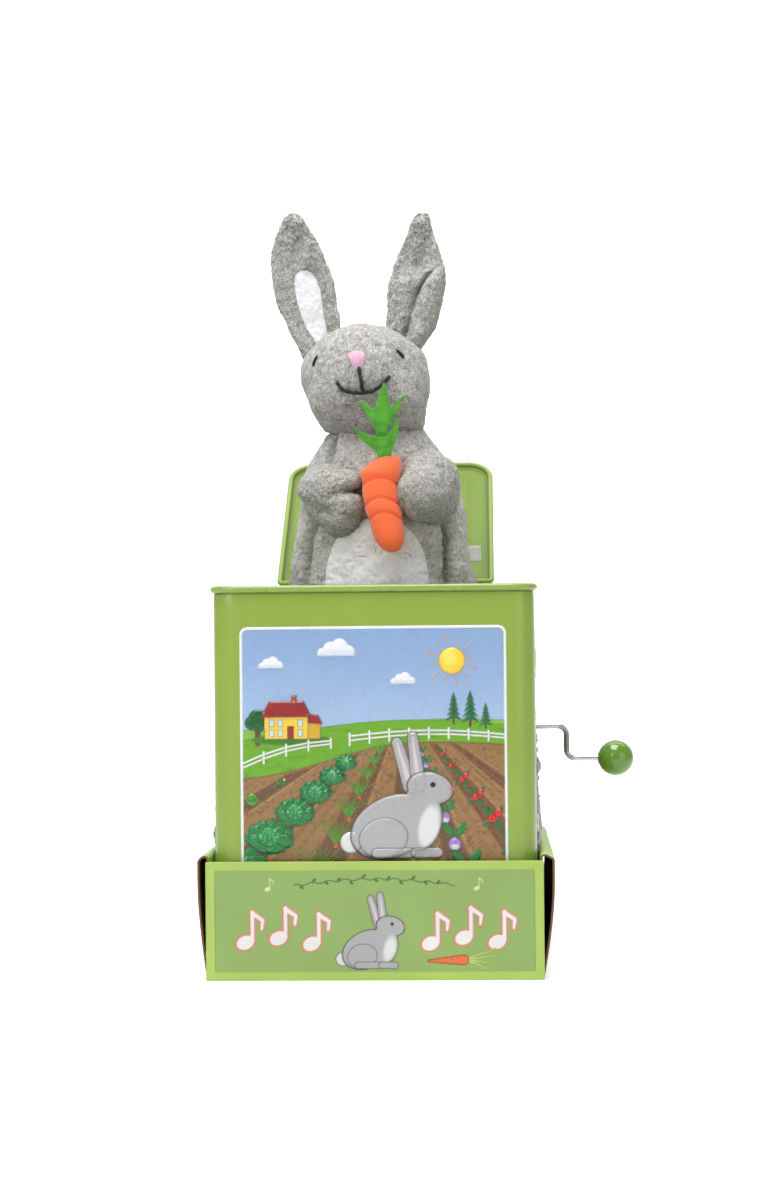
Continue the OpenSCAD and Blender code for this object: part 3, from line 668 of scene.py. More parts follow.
class Canvas:
    """A printed rectangle: x runs from -width/2 to width/2 and y from 0 to height."""

    def __init__(self, width, height, step, colour, corner):
        self.width, self.height, self.corner = width, height, corner
        self.columns, self.rows = int(width / step) + 1, int(height / step) + 1
        y = np.linspace(0, height, self.rows)
        x = np.linspace(-1, 1, self.columns)
        near = np.minimum(y, height - y)
        bite = corner - np.sqrt(np.maximum(corner**2 - np.maximum(corner - near, 0) ** 2, 0))
        self.x = ((width / 2 - bite)[:, None] * x[None, :]).ravel()
        self.y = np.repeat(y, self.columns)
        self.points = np.c_[self.x, self.y, np.zeros(len(self.x))]
        self.rgb = np.tile(srgb(*colour), (len(self.x), 1))
        self.lift = np.zeros(len(self.x))

    def paint(self, distance, colour, lift=0.0, puff=1.5, edge=None, line=0.35, soft=0.16):
        """Prints where distance is negative. lift raises a pillow; edge is an outline colour."""
        if edge is not None:
            self.paint(distance - line, edge, soft=soft)
        cover = np.clip(0.5 - distance / (2 * soft), 0, 1)[:, None]
        tint = srgb(*colour) if not isinstance(colour, np.ndarray) else colour
        self.rgb = self.rgb * (1 - cover) + tint * cover
        if lift:
            depth = np.clip(-distance / puff, 0, 1)
            self.lift = np.where(distance < 0, self.lift + lift * np.sqrt(depth * (2 - depth)),
                                 self.lift)

    def circle(self, x, y, r):
        return np.hypot(self.x - x, self.y - y) - r

    def oval(self, x, y, rx, ry, lean=0.0):
        a = math.radians(lean)
        dx, dy = self.x - x, self.y - y
        u, v = dx * math.cos(a) + dy * math.sin(a), dy * math.cos(a) - dx * math.sin(a)
        return (np.hypot(u / rx, v / ry) - 1) * min(rx, ry)

    def stroke(self, points, thick, end=None):
        """Line through points; end is its thickness at the far end if it tapers."""
        best = np.full(len(self.x), 1e9)
        points = np.asarray(points, float)
        widths = np.linspace(thick, thick if end is None else end, len(points))
        for (a, b), (wa, wb) in zip(zip(points, points[1:]), zip(widths, widths[1:])):
            d = b - a
            t = np.clip(((self.x - a[0]) * d[0] + (self.y - a[1]) * d[1]) / (d @ d), 0, 1)
            gap = np.hypot(self.x - a[0] - t * d[0], self.y - a[1] - t * d[1])
            best = np.minimum(best, gap - (wa + (wb - wa) * t) / 2)
        return best

    def shape(self, points):
        """Signed distance to a polygon."""
        points = np.asarray(points, float)
        best = np.full(len(self.x), 1e9)
        inside = np.zeros(len(self.x), bool)
        for a, b in zip(points, np.roll(points, -1, 0)):
            d = b - a
            px, py = self.x - a[0], self.y - a[1]
            t = np.clip((px * d[0] + py * d[1]) / (d @ d), 0, 1)
            best = np.minimum(best, np.hypot(px - t * d[0], py - t * d[1]))
            crosses = (a[1] > self.y) != (b[1] > self.y)
            if d[1]:
                inside ^= crosses & (px < d[0] * py / d[1])
        return np.where(inside, -best, best)

    def outline(self):
        """Signed distance to the canvas's own rounded edge."""
        qx = np.abs(self.x) - (self.width / 2 - self.corner)
        qy = np.abs(self.y - self.height / 2) - (self.height / 2 - self.corner)
        out = np.hypot(np.maximum(qx, 0), np.maximum(qy, 0))
        return out + np.minimum(np.maximum(qx, qy), 0) - self.corner

    def mesh(self, name, material, origin, right, out, backing=0.3):
        """Makes the picture: origin is the middle of its foot, out the way it faces."""
        origin, right, out = (np.asarray(v, float) for v in (origin, right, out))
        up = np.array((0, 0, 1.0))
        front = (origin + self.x[:, None] * right + self.y[:, None] * up
                 + self.lift[:, None] * out)
        index = np.arange(self.rows * self.columns).reshape(self.rows, self.columns)
        edge = np.concatenate((index[0], index[1:, -1], index[-1, -2::-1], index[-2:0:-1, 0]))
        back = front[edge] - (self.lift[edge, None] + backing) * out
        count, total = len(edge), len(front)
        ring = np.arange(count)
        after = np.roll(ring, -1)
        walls = np.c_[edge[after], edge, total + ring, total + after]
        faces = grid_faces(self.rows, self.columns).tolist() + walls.tolist()
        faces.append((total + ring).tolist()[::-1])
        paint = np.vstack((self.rgb, self.rgb[edge]))
        return build(name, np.vstack((front, back)), faces, material, None, paint)


INK = (52, 48, 46)
FRAME_WHITE = (236, 240, 240)
LEAF_DARK, LEAF_MID, LEAF_LIGHT = (22, 84, 46), (32, 128, 65), (62, 166, 92)
VANISH_X, VANISH_Y = 13.0, 98.0
PANEL_W, PANEL_Z0, PANEL_Z1 = 113.0, 17.0, 148.9
PANEL_CORNER = 3.5


def sky(c):
    """Blue over the whole panel, deeper towards its top."""
    top, low = srgb(142, 172, 214), srgb(168, 194, 226)
    share = smooth(80, c.height, c.y)[:, None]
    c.paint(np.full(len(c.x), -9.0), low + (top - low) * share)


def cloud(c, x, y, size):
    """A flat-bottomed cloud of four lumps."""
    lumps = [(-0.9, 0.15, 0.3), (-0.4, 0.38, 0.45), (0.15, 0.5, 0.52), (0.7, 0.22, 0.38)]
    body = np.minimum.reduce([c.circle(x + u * size, y + v * size, r * size) for u, v, r in lumps])
    body = np.maximum(body, y - c.y)
    c.paint(body, (226, 229, 238), 0.55, 1.4, edge=(170, 184, 212), line=0.2)
    c.paint(np.maximum(body + 0.5, y + 0.35 * size - c.y), (240, 241, 246))


def sun(c, x, y, r):
    """A plain sun with twelve rays."""
    for k in range(12):
        a = math.radians(30 * k + 11)
        near, far = 1.35 * r, (2.1 if k % 2 else 1.75) * r
        ray = c.stroke([(x + s * math.cos(a), y + s * math.sin(a)) for s in (near, far)], 0.5)
        c.paint(ray, (214, 150, 84), 0.2, 0.4)
    c.paint(c.circle(x, y, r), (252, 214, 58), 0.8, 2.2, edge=(206, 140, 40))
    c.paint(c.circle(x - 0.15 * r, y + 0.2 * r, 0.55 * r), (255, 230, 108), soft=0.9)


def hills(c, level, height, seed):
    """Two lines of hills, the near one with tufts of grass."""
    far = level + 0.6 * height + 2.5 * np.sin(c.x / 23 + seed)
    c.paint(c.y - far, (138, 186, 78), edge=(92, 150, 50), line=0.2)
    near = level + height * np.cos(c.x / 46 - 0.4 + 0.3 * seed) * 0.8
    c.paint(c.y - near, (112, 172, 44), 0.12, 3, edge=(72, 132, 34), line=0.25)
    tuft = noise3(np.c_[c.x / 5, c.y / 1.6, np.zeros(len(c.x))], seed)
    c.paint(np.maximum(c.y - near + 1.5, 0.62 - tuft), (98, 158, 40), soft=0.2)


def cottage(c, x, y, size):
    """A plain farmhouse: one long front under a tiled roof, with a lean-to."""
    wall, shade, roof = (246, 208, 74), (214, 172, 54), (158, 44, 46)

    def block(x0, y0, x1, y1):
        corners = ((x0, y0), (x1, y0), (x1, y1), (x0, y1))
        return c.shape([(x + u * size, y + v * size) for u, v in corners])

    def pane(u, v):
        c.paint(block(u, v, u + 0.14, v + 0.22), (206, 226, 240), edge=INK, line=0.18)

    c.paint(c.oval(x + 0.2 * size, y - 0.04 * size, 1.35 * size, 0.18 * size), (74, 132, 40))
    c.paint(block(0.72, 0, 1.16, 0.56), shade, 0.3, 0.5, edge=INK, line=0.2)
    lean = [(0.68, 0.54), (1.24, 0.5), (1.1, 0.78), (0.7, 0.84)]
    c.paint(c.shape([(x + u * size, y + v * size) for u, v in lean]), roof, 0.3, 0.5, INK, 0.2)
    c.paint(block(-0.72, 0, 0.74, 0.78), wall, 0.5, 0.6, edge=INK, line=0.22)
    gable = [(-0.84, 0.74), (0.86, 0.74), (0.6, 1.26), (-0.56, 1.26)]
    c.paint(c.shape([(x + u * size, y + v * size) for u, v in gable]), roof, 0.7, 0.6, INK, 0.22)
    for k in range(1, 5):
        v = 0.74 + 0.105 * k
        tile = c.stroke([(x - 0.7 * size, y + v * size), (x + 0.72 * size, y + v * size)], 0.14)
        c.paint(tile, (122, 28, 34))
    c.paint(block(0.2, 1.2, 0.36, 1.46), (176, 88, 60), 0.5, 0.4, edge=INK, line=0.18)
    for u in (-0.56, -0.26, 0.42):
        pane(u, 0.42)
        pane(u, 0.08)
    c.paint(block(0.06, 0, 0.26, 0.42), (150, 60, 52), 0.2, 0.3, edge=INK, line=0.18)


def round_tree(c, x, y, size):
    """A trunk under a crown of four lumps."""
    c.paint(c.stroke([(x, y), (x, y + 1.2 * size)], 0.32 * size), (112, 74, 48), 0.3, 0.5, INK, 0.15)
    lumps = [(0, 1.7, 0.62), (-0.42, 1.4, 0.45), (0.42, 1.42, 0.45), (0.05, 1.2, 0.4)]
    crown = np.minimum.reduce([c.circle(x + u * size, y + v * size, r * size) for u, v, r in lumps])
    c.paint(crown, (30, 96, 44), 0.6, 1.2, edge=(14, 52, 26), line=0.2)


def pine(c, x, y, tall):
    """A pine of five tiers."""
    c.paint(c.stroke([(x, y), (x, y + 0.3 * tall)], 0.09 * tall), (98, 66, 44), 0.2, 0.3)
    for k in range(5):
        foot = y + (0.12 + 0.17 * k) * tall
        half = (0.27 - 0.042 * k) * tall
        tier = [(x - half, foot), (x, foot + 0.07 * tall), (x + half, foot), (x, foot + 0.3 * tall)]
        c.paint(c.shape(tier), (18, 106, 58), 0.25, 0.6, edge=(8, 62, 36), line=0.12)


def fence(c, left, right, posts):
    """White rail fence between two (x, y) places, bowed upwards a little."""
    xs = np.linspace(left[0], right[0], posts)
    share = (xs - left[0]) / (right[0] - left[0])
    ys = left[1] + (right[1] - left[1]) * share + 2.2 * np.sin(math.pi * share)
    size = 4.6 - 1.2 * share
    for lift in (0.35, 0.75):
        rail = np.c_[xs, ys + lift * size]
        c.paint(c.stroke(rail, 0.6), (246, 246, 244), 0.3, 0.4, edge=(120, 150, 96), line=0.14)
    for x, y, tall in zip(xs, ys, size):
        post = c.stroke([(x, y - 0.5), (x, y + tall)], 0.75)
        c.paint(post, (250, 250, 248), 0.35, 0.4, edge=(110, 140, 88), line=0.14)


# Furrows of the field, as (slope from the vanishing point, half width).
FURROWS = [(-2.3, 0.14), (-1.62, 0.12), (-1.04, 0.12), (-0.5, 0.11), (-0.05, 0.07), (0.34, 0.08),
           (0.78, 0.1), (1.3, 0.1)]


def field(c):
    """Ploughed ground, with furrows that run to the vanishing point."""
    top = field_top(c.x)
    soil = noise3(np.c_[c.x / 1.1, c.y / 0.8, np.zeros(len(c.x))], 3)
    c.paint(c.y - top, (154, 116, 70), edge=(104, 74, 44), line=0.3)
    slope = (c.x - VANISH_X) / (VANISH_Y - c.y)
    for middle, wide in FURROWS:
        band = (np.abs(slope - middle) - wide) * (VANISH_Y - c.y) * 0.8
        c.paint(np.maximum(band, c.y - top + 0.5), (112, 76, 48), soft=0.5)
        ridge = (np.abs(slope - middle - wide - 0.03) - 0.012) * (VANISH_Y - c.y)
        c.paint(np.maximum(ridge, c.y - top + 0.5), (176, 136, 86), soft=0.3)
    c.paint(np.maximum(c.y - top + 0.5, 0.5 - soil), (128, 92, 56), soft=0.25)
    c.lift = np.where(c.y < top, c.lift + 0.1 + 0.06 * np.sin(60 * slope), c.lift)


def field_top(x):
    """Height of the ploughed field's far edge."""
    return 67 + 14.5 * smooth(-PANEL_W / 2 - 8, 14, x) + 1.0 * np.sin(x / 17)


def row_places(slope, low, count):
    """Places along one furrow that lie within the field, from near to far, as (x, y, scale)."""
    for k in range(count):
        away = (VANISH_Y - low) * 0.81**k
        x, y = VANISH_X + slope * away, VANISH_Y - away
        if y < field_top(x) - 1.5:
            yield x, y, away / (VANISH_Y - low)


def cabbage(c, x, y, r, turn=0.0):
    """Ruffled leaves round a folded heart."""
    for k in range(7):
        a = math.radians(180 / 6 * k)
        leaf = c.oval(x + 0.62 * r * math.cos(a), y - 0.1 * r + 0.42 * r * math.sin(a),
                      0.48 * r, 0.34 * r, 30 * k)
        ruffle = 0.05 * r * np.sin(9 * np.arctan2(c.y - y, c.x - x) + turn + k)
        c.paint(leaf + ruffle, LEAF_MID, 0.35, 1.2, edge=LEAF_DARK, line=0.22)
        vein = [(x, y), (x + 0.9 * r * math.cos(a), y - 0.1 * r + 0.62 * r * math.sin(a))]
        c.paint(c.stroke(vein, 0.3, 0.1), LEAF_LIGHT, soft=0.25)
    for side in (-1, 1):
        skirt = c.oval(x + side * 0.4 * r, y - 0.3 * r, 0.62 * r, 0.36 * r, side * 28)
        c.paint(skirt, LEAF_MID, 0.5, 1.5, edge=LEAF_DARK, line=0.22)
        rib = [(x, y - 0.55 * r), (x + side * 0.75 * r, y - 0.1 * r)]
        c.paint(c.stroke(rib, 0.35, 0.12), LEAF_LIGHT, soft=0.25)
    heart = c.oval(x, y + 0.02 * r, 0.5 * r, 0.42 * r)
    c.paint(heart, (44, 146, 78), 0.7, 0.4 * r, edge=LEAF_DARK, line=0.22)
    for u in (-0.22, 0.05, 0.28):
        fold = [(x + u * r, y - 0.3 * r), (x + 0.7 * u * r, y + 0.1 * r), (x + 0.3 * u * r, y + 0.3 * r)]
        c.paint(c.stroke(fold, 0.26, 0.1), (112, 196, 132), soft=0.2)


def sprout(c, x, y, size, blades, colour=(96, 158, 52), spread=36):
    """A fan of thin bent blades."""
    for k in range(blades):
        a = math.radians(90 + spread * (2 * k / (blades - 1) - 1))
        bend = 0.22 * size * math.cos(a)
        tip = (x + size * math.cos(a) + bend, y + size * math.sin(a) * (0.8 + 0.2 * ((k * 7) % 3) / 2))
        middle = (x + 0.5 * size * math.cos(a), y + 0.55 * size * math.sin(a))
        c.paint(c.stroke([(x, y), middle, tip], 0.5, 0.16), colour, 0.12, 0.3, (52, 96, 30), 0.08)


def turnip(c, x, y, size):
    """A purple turnip, half out of the ground, with its leaves."""
    sprout(c, x, y + 0.3 * size, 1.7 * size, 5, (48, 138, 66), 40)
    for side in (-1, 1):
        leaf = c.oval(x + side * 0.75 * size, y + 1.7 * size, 0.36 * size, 0.8 * size, -side * 34)
        c.paint(leaf, (44, 132, 64), 0.35, 0.8, edge=LEAF_DARK, line=0.15)
    c.paint(c.circle(x, y, 0.72 * size), (164, 132, 196), 0.8, 1.6, edge=(92, 62, 120), line=0.2)
    c.paint(c.oval(x, y - 0.3 * size, 0.5 * size, 0.34 * size), (226, 214, 234), soft=0.4)


def tomato(c, x, y, size, side):
    """A stem that leans to one side, with leaves and two fruits."""
    stem = [(x, y - size), (x + 0.2 * side * size, y), (x - 0.1 * side * size, y + 1.2 * size)]
    c.paint(c.stroke(stem, 0.4), (52, 104, 44), 0.2, 0.3)
    for k in range(4):
        a = math.radians(55 + 80 * k)
        leaf = c.oval(x + 0.85 * size * math.cos(a), y + 0.85 * size * math.sin(a),
                      0.5 * size, 0.26 * size, 55 + 80 * k)
        c.paint(leaf, (44, 116, 52), 0.25, 0.6, edge=LEAF_DARK, line=0.12)
    for u, v in ((-0.25, -0.1), (0.4, 0.45)):
        fruit = c.circle(x + u * size, y + v * size, 0.4 * size)
        c.paint(fruit, (214, 48, 40), 0.5, 0.8, edge=(120, 22, 20), line=0.15)


def melon(c, x, y, r):
    """A round melon with five stripes."""
    c.paint(c.circle(x, y, r), (112, 184, 52), 0.8, r, edge=(28, 72, 24), line=0.25)
    for k in (-2, -1, 0, 1, 2):
        stripe = c.oval(x + 0.34 * k * r, y, max(0.1, 0.14 * r), 0.9 * math.sqrt(1 - (0.37 * k) ** 2) * r)
        c.paint(stripe, (34, 108, 40), soft=0.2)


def vine(c, slope, low, count):
    """A winding stem along one furrow, with melons, leaves and flowers in turn."""
    path = [(x, y) for x, y, _ in row_places(slope, low, count)]
    wavy = [(x + 1.4 * math.sin(2.1 * k), y + 0.9 * math.cos(1.7 * k)) for k, (x, y) in enumerate(path)]
    c.paint(c.stroke(curve_through(wavy, 40), 0.55, 0.25), (58, 112, 42), 0.2, 0.3, INK, 0.1)
    for k, (x, y, s) in enumerate(row_places(slope, low, count)):
        if k % 2:
            melon(c, x, y + 2.4 * s, 4.6 * s)
            continue
        for a in (20, 95, 170):
            leaf = c.oval(x + 3 * s * math.cos(math.radians(a)), y + 3 * s * math.sin(math.radians(a)),
                          2.6 * s, 1.5 * s, a)
            c.paint(leaf, (48, 126, 54), 0.3, 0.8, edge=LEAF_DARK, line=0.15)
        c.paint(c.circle(x + 3.4 * s, y + 4.6 * s, 1.2 * s), (246, 206, 62), 0.2, 0.4, INK, 0.1)


def hare(c, x, y, s):
    """A sitting rabbit seen from the side, as any field guide draws one."""
    coat, dark, pale = (176, 176, 178), (64, 62, 64), (226, 226, 228)
    rump = c.oval(x - 0.2 * s, y + 0.5 * s, 0.7 * s, 0.6 * s)
    face = c.oval(x + 0.2 * s, y + s, 0.46 * s, 0.3 * s)
    c.lift = np.where(np.minimum(rump, face) < 0, 0.1, c.lift)
    ears = ((-0.02, 1.0, -0.2, 1.6), (0.1, 1.02, 0.02, 1.68))
    for u0, v0, u1, v1 in ears:
        ear = c.stroke([(x + u0 * s, y + v0 * s), (x + u1 * s, y + v1 * s)], 0.2 * s, 0.14 * s)
        c.paint(ear, coat, 0.5, 1.2, edge=dark, line=0.35)
        c.paint(ear + 0.06 * s, (222, 206, 208), soft=0.3)
    c.paint(c.circle(x - 0.86 * s, y + 0.2 * s, 0.15 * s), pale, 0.6, 1.4, edge=dark, line=0.3)
    back = c.oval(x - 0.28 * s, y + 0.42 * s, 0.6 * s, 0.42 * s, 24)
    chest = c.oval(x + 0.12 * s, y + 0.5 * s, 0.3 * s, 0.42 * s, -12)
    neck = c.stroke([(x, y + 0.6 * s), (x + 0.18 * s, y + 0.92 * s)], 0.4 * s)
    head = c.oval(x + 0.26 * s, y + 0.96 * s, 0.32 * s, 0.22 * s, -12)
    body = np.minimum.reduce((back, chest, neck, head))
    c.paint(body, coat, 0.9, 1.3, edge=dark, line=0.4)
    bib = c.oval(x + 0.24 * s, y + 0.42 * s, 0.14 * s, 0.3 * s, -12)
    c.paint(np.maximum(bib, body + 0.4), pale, soft=0.7)
    c.paint(c.oval(x - 0.4 * s, y + 0.26 * s, 0.34 * s, 0.28 * s, 12), coat, 0.5, 2, edge=dark, line=0.25)
    for u0, u1 in ((-0.5, -0.02), (0.06, 0.36)):
        foot = c.stroke([(x + u0 * s, y + 0.05 * s), (x + u1 * s, y + 0.05 * s)], 0.14 * s)
        c.paint(foot, coat, 0.4, 1, edge=dark, line=0.3)
    c.paint(c.circle(x + 0.3 * s, y + 1.01 * s, 0.04 * s), (30, 26, 26), 0.2, 0.4)
    c.paint(c.circle(x + 0.56 * s, y + 0.95 * s, 0.035 * s), (206, 140, 150))


def farm_panel(step, seed, with_house, plain_spots=()):
    """One embossed picture of a market garden; plain_spots are left clear of relief."""
    c = Canvas(PANEL_W, PANEL_Z1 - PANEL_Z0, step, (150, 178, 214), PANEL_CORNER)
    flip = -1 if seed % 2 else 1
    sky(c)
    for x, y, size in ((-15, 119.5, 7), (-43, 114.5, 4.6), (13, 107.5, 4.6)):
        cloud(c, flip * x + 2 * seed, y, size)
    sun(c, flip * 33.5, 117, 5.4)
    hills(c, 84, 10, seed)
    if with_house:
        round_tree(c, flip * -49, 82.5, 6.2)
        cottage(c, flip * -37, 84.5, 12.5)
    else:
        for x, size in ((-46, 7), (-36, 5.5), (-27, 6.2)):
            round_tree(c, flip * x, 84.5, size)
    for x, y, tall in ((34, 90.5, 12), (41, 89.5, 13.5), (47.5, 88.5, 9.5)):
        pine(c, flip * x, y, tall)
    field(c)
    fence(c, (-56, 70.5), (-18, 81), 5)
    fence(c, (-10, 82), (57, 83), 9)
    plots = {
        0: [("vine", -1.6), ("cabbage", -1.04), ("sprout", -0.5), ("turnip", 0.36), ("tomato", 0.8)],
        1: [("turnip", -0.98), ("sprout", -0.5), ("cabbage", 0.1), ("tomato", 0.66), ("vine", 1.2)],
        2: [("cabbage", -1.0), ("tomato", -0.5), ("turnip", 0.0), ("sprout", 0.5), ("cabbage", 1.0)],
        3: [("tomato", -0.9), ("turnip", -0.45), ("vine", 0.05), ("cabbage", 0.6), ("sprout", 1.1)],
    }[seed]
    for kind, slope in plots:
        plant_row(c, kind, slope)
    if seed < 2:
        hare(c, *((16, 34.5, 30), (-27, 42, 27))[seed])
    edge = c.outline()
    c.paint(-edge - 1.15, FRAME_WHITE)
    c.lift = (1.5 if seed < 2 else 1.0) * c.lift + 0.1
    c.lift = np.where(edge > -1.15, 0.12 + 0.22 * bell(edge + 0.6, 0.5), c.lift * smooth(-1.1, -2.0, edge))
    for x, y, r in plain_spots:
        spot = c.circle(x, y, r)
        c.paint(spot, TIN_GREEN, edge=FRAME_WHITE, line=0.6)
        c.lift = np.where(spot < 0.4, -0.2, c.lift * smooth(0.4, 2, spot))
    return c


def plant_row(c, kind, slope):
    """Fills one furrow with plants, the far ones first."""
    low, count = (9, 11) if kind in ("sprout", "turnip", "tomato") else (14, 9)
    if kind == "vine":
        vine(c, slope, low + 8, count)
        return
    for k, (x, y, s) in reversed(list(enumerate(row_places(slope, low, count)))):
        if kind == "cabbage":
            cabbage(c, x, y, 14.5 * s, k)
        elif kind == "sprout":
            sprout(c, x, y, 19 * s, 9)
            c.paint(c.oval(x, y - 0.6 * s, 1.5 * s, 1.9 * s), (222, 106, 52), 0.3, 0.6, INK, 0.12)
        elif kind == "turnip":
            turnip(c, x, y, 5.8 * s)
        else:
            tomato(c, x, y, 8 * s, 1 if k % 2 else -1)


MOTIF_BACK = (148, 178, 100)
TRAY_FRONT_W = 142.4


def crotchet(c, x, y, size):
    """A plain musical note: head, stem and flag."""
    colour = (214, 232, 168)
    c.paint(c.oval(x, y, 0.36 * size, 0.26 * size, 24), colour)
    c.paint(c.stroke([(x + 0.3 * size, y), (x + 0.3 * size, y + 1.3 * size)], 0.35), colour)
    flag = [(x + 0.3 * size, y + 1.25 * size), (x + 0.75 * size, y + 0.95 * size),
            (x + 0.7 * size, y + 0.6 * size)]
    c.paint(c.stroke(flag, 0.5, 0.25), colour)


def printed_carrot(c, x, y, size, side):
    """A carrot lying on its side, its leaves towards side."""
    for k, rise in enumerate((-0.5, -0.15, 0.2, 0.55)):
        tip = (x + side * (1.9 + 0.1 * k) * size, y + rise * size)
        middle = (x + side * 1.2 * size, y + 0.35 * rise * size)
        start = (x + side * 0.62 * size, y)
        c.paint(c.stroke([start, middle, tip], 0.7, 0.25), (206, 218, 120), edge=(122, 152, 70), line=0.15)
    root = [(x + side * 0.62 * size, y), (x - side * 1.1 * size, y - 0.05 * size)]
    c.paint(c.stroke(root, 0.44 * size, 0.06 * size), (236, 112, 58), edge=(128, 52, 28), line=0.4)
    for u in (0.35, 0.05, -0.3, -0.6):
        ring = [(x + side * u * size, y + 0.02 * size), (x + side * u * size, y + 0.14 * size)]
        c.paint(c.stroke(ring, 0.3), (190, 78, 40))


def big_note(c, x, y, size):
    """A white note with a pink outline, as large as the tray's main printing."""
    head = c.oval(x, y, 0.4 * size, 0.3 * size, 24)
    stem = c.stroke([(x + 0.32 * size, y + 0.05 * size), (x + 0.32 * size, y + 1.35 * size)], 0.16 * size)
    flag = c.stroke([(x + 0.32 * size, y + 1.3 * size), (x + 0.78 * size, y + 1.0 * size),
                     (x + 0.74 * size, y + 0.62 * size)], 0.2 * size, 0.12 * size)
    c.paint(np.minimum.reduce((head, stem, flag)), (238, 236, 232), edge=(222, 122, 118), line=0.65)


def garland(c, y, left, right):
    """A thin wavy stem with small leaves, bowed upwards."""
    xs = np.linspace(left, right, 40)
    share = (xs - left) / (right - left)
    ys = y + 2.6 * np.sin(math.pi * share) + 0.5 * np.sin(xs * 0.9)
    c.paint(c.stroke(np.c_[xs, ys], 0.4), (52, 84, 48))
    for k in range(2, 38, 3):
        side = 1 if k % 2 else -1
        c.paint(c.oval(xs[k], ys[k] + side * 0.9, 0.95, 0.45, 40 * side), (52, 84, 48))


def tray_front(step):
    """Front of the card tray: a border, a garland, large notes, a rabbit and a carrot."""
    c = Canvas(TRAY_FRONT_W, 50.0, step, (176, 204, 100), 0.4)
    inner = np.maximum(np.abs(c.x) - 67.2, np.abs(c.y - 25) - 21.2)
    c.paint(inner, MOTIF_BACK, soft=0.12)
    c.paint(np.abs(inner) - 0.12, (126, 154, 80), soft=0.1)
    garland(c, 40, -34, 34)
    for side in (-1, 1):
        crotchet(c, side * 44 - 1, 38.5, 3.4)
        for k, rise in enumerate((0, 2.4, 0.6)):
            big_note(c, side * (25 + 14 * k) - 1.5, 15.5 + rise, 9.4)
    hare(c, 2, 5.5, 18)
    printed_carrot(c, 32, 8.6, 8.5, 1)
    c.lift[:] = 0
    return c


def tint_faces(obj, material, test):
    """Gives a second material to the faces whose centre and normal pass the test."""
    obj.data.materials.append(material)
    for face in obj.data.polygons:
        face.material_index = int(test(np.array(face.center) / MM, face.normal))
    return obj


# ---------------------------------------------------------------- tin


def tin_body():
    """Four walls of thin sheet in one band, enamelled outside and bare inside, with painted shade in a band
    just under the rim.
    """
    top = PLATE_TOP - SHEET - 0.05
    low = BASE_HIGH[2] - 0.4
    neck = top - 3.2
    walls = np.linspace(low + 0.6, neck, 24)
    levels = np.concatenate(([low], walls, [neck + 0.5, neck + 1.0, top - 1, top]))

    def ring(inset, z):
        inset += 0.25 * smooth(neck, neck + 1, z)
        points = rounded_ring(2 * (HALF - inset), 2 * (HALF - inset), CORNER - inset, z, steps=10)
        points = curve_walls(points)
        out = points[:, :2] / np.linalg.norm(points[:, :2], axis=1)[:, None]
        sway = 0.10 * fbm(points, 48, 2, 4) * smooth(0, 12, z - low) * smooth(0, 12, top - z)
        points[:, :2] += out * sway[:, None]
        return points

    outer = [ring(0, z) for z in levels]
    inner = [ring(SHEET, z) for z in levels[::-1]]
    body = loft("tin_body", outer + inner, FINISHES["tin"], loop=True, sharp=50)
    tint_faces(body, FINISHES["inside"], lambda at, out: at[0] * out[0] + at[1] * out[1] < 0)
    # The faces from just under the rim to the top of the wall take that darker green: painted shade under
    # the rim.
    body.data.materials.append(FINISHES["groove"])
    for face in body.data.polygons:
        if face.material_index == 0 and face.center.z / MM > neck + 1.1:
            face.material_index = 2
    return body


def curve_walls(ring):
    """Splits the long straight sides of a ring, so that they can bow a little."""
    out = []
    for a, b in zip(ring, np.roll(ring, -1, 0)):
        count = 9 if np.linalg.norm(b - a) > 20 else 1
        out += [a + (b - a) * k / count for k in range(count)]
    return np.array(out)


def tin_foot():
    """Base panel with its rolled seam."""
    mid = BASE_LOW[2] + 1.2
    outer = BASE_HIGH[0]
    rings = [rounded_ring(2 * w, 2 * w, w - HALF + CORNER, z) for w, z in (
        (HALF - 14, BASE_LOW[2] + 0.5), (HALF - 12, BASE_LOW[2] + 0.9), (HALF - 1, BASE_LOW[2] + 0.9))]
    for angle in range(200, 441, 24):
        a = math.radians(angle)
        w = outer - 1.2 + 1.2 * math.cos(a)
        rings.append(rounded_ring(2 * w, 2 * w, w - HALF + CORNER, mid + 1.2 * math.sin(a)))
    top = BASE_LOW[2] + 1.65
    rings += [rounded_ring(2 * w, 2 * w, w - HALF + CORNER, z) for w, z in (
        (HALF - 0.6, top), (HALF - 11.7, top), (HALF - 13.7, top - 0.4))]
    return loft("tin_foot", rings, FINISHES["seam"], sharp=50)


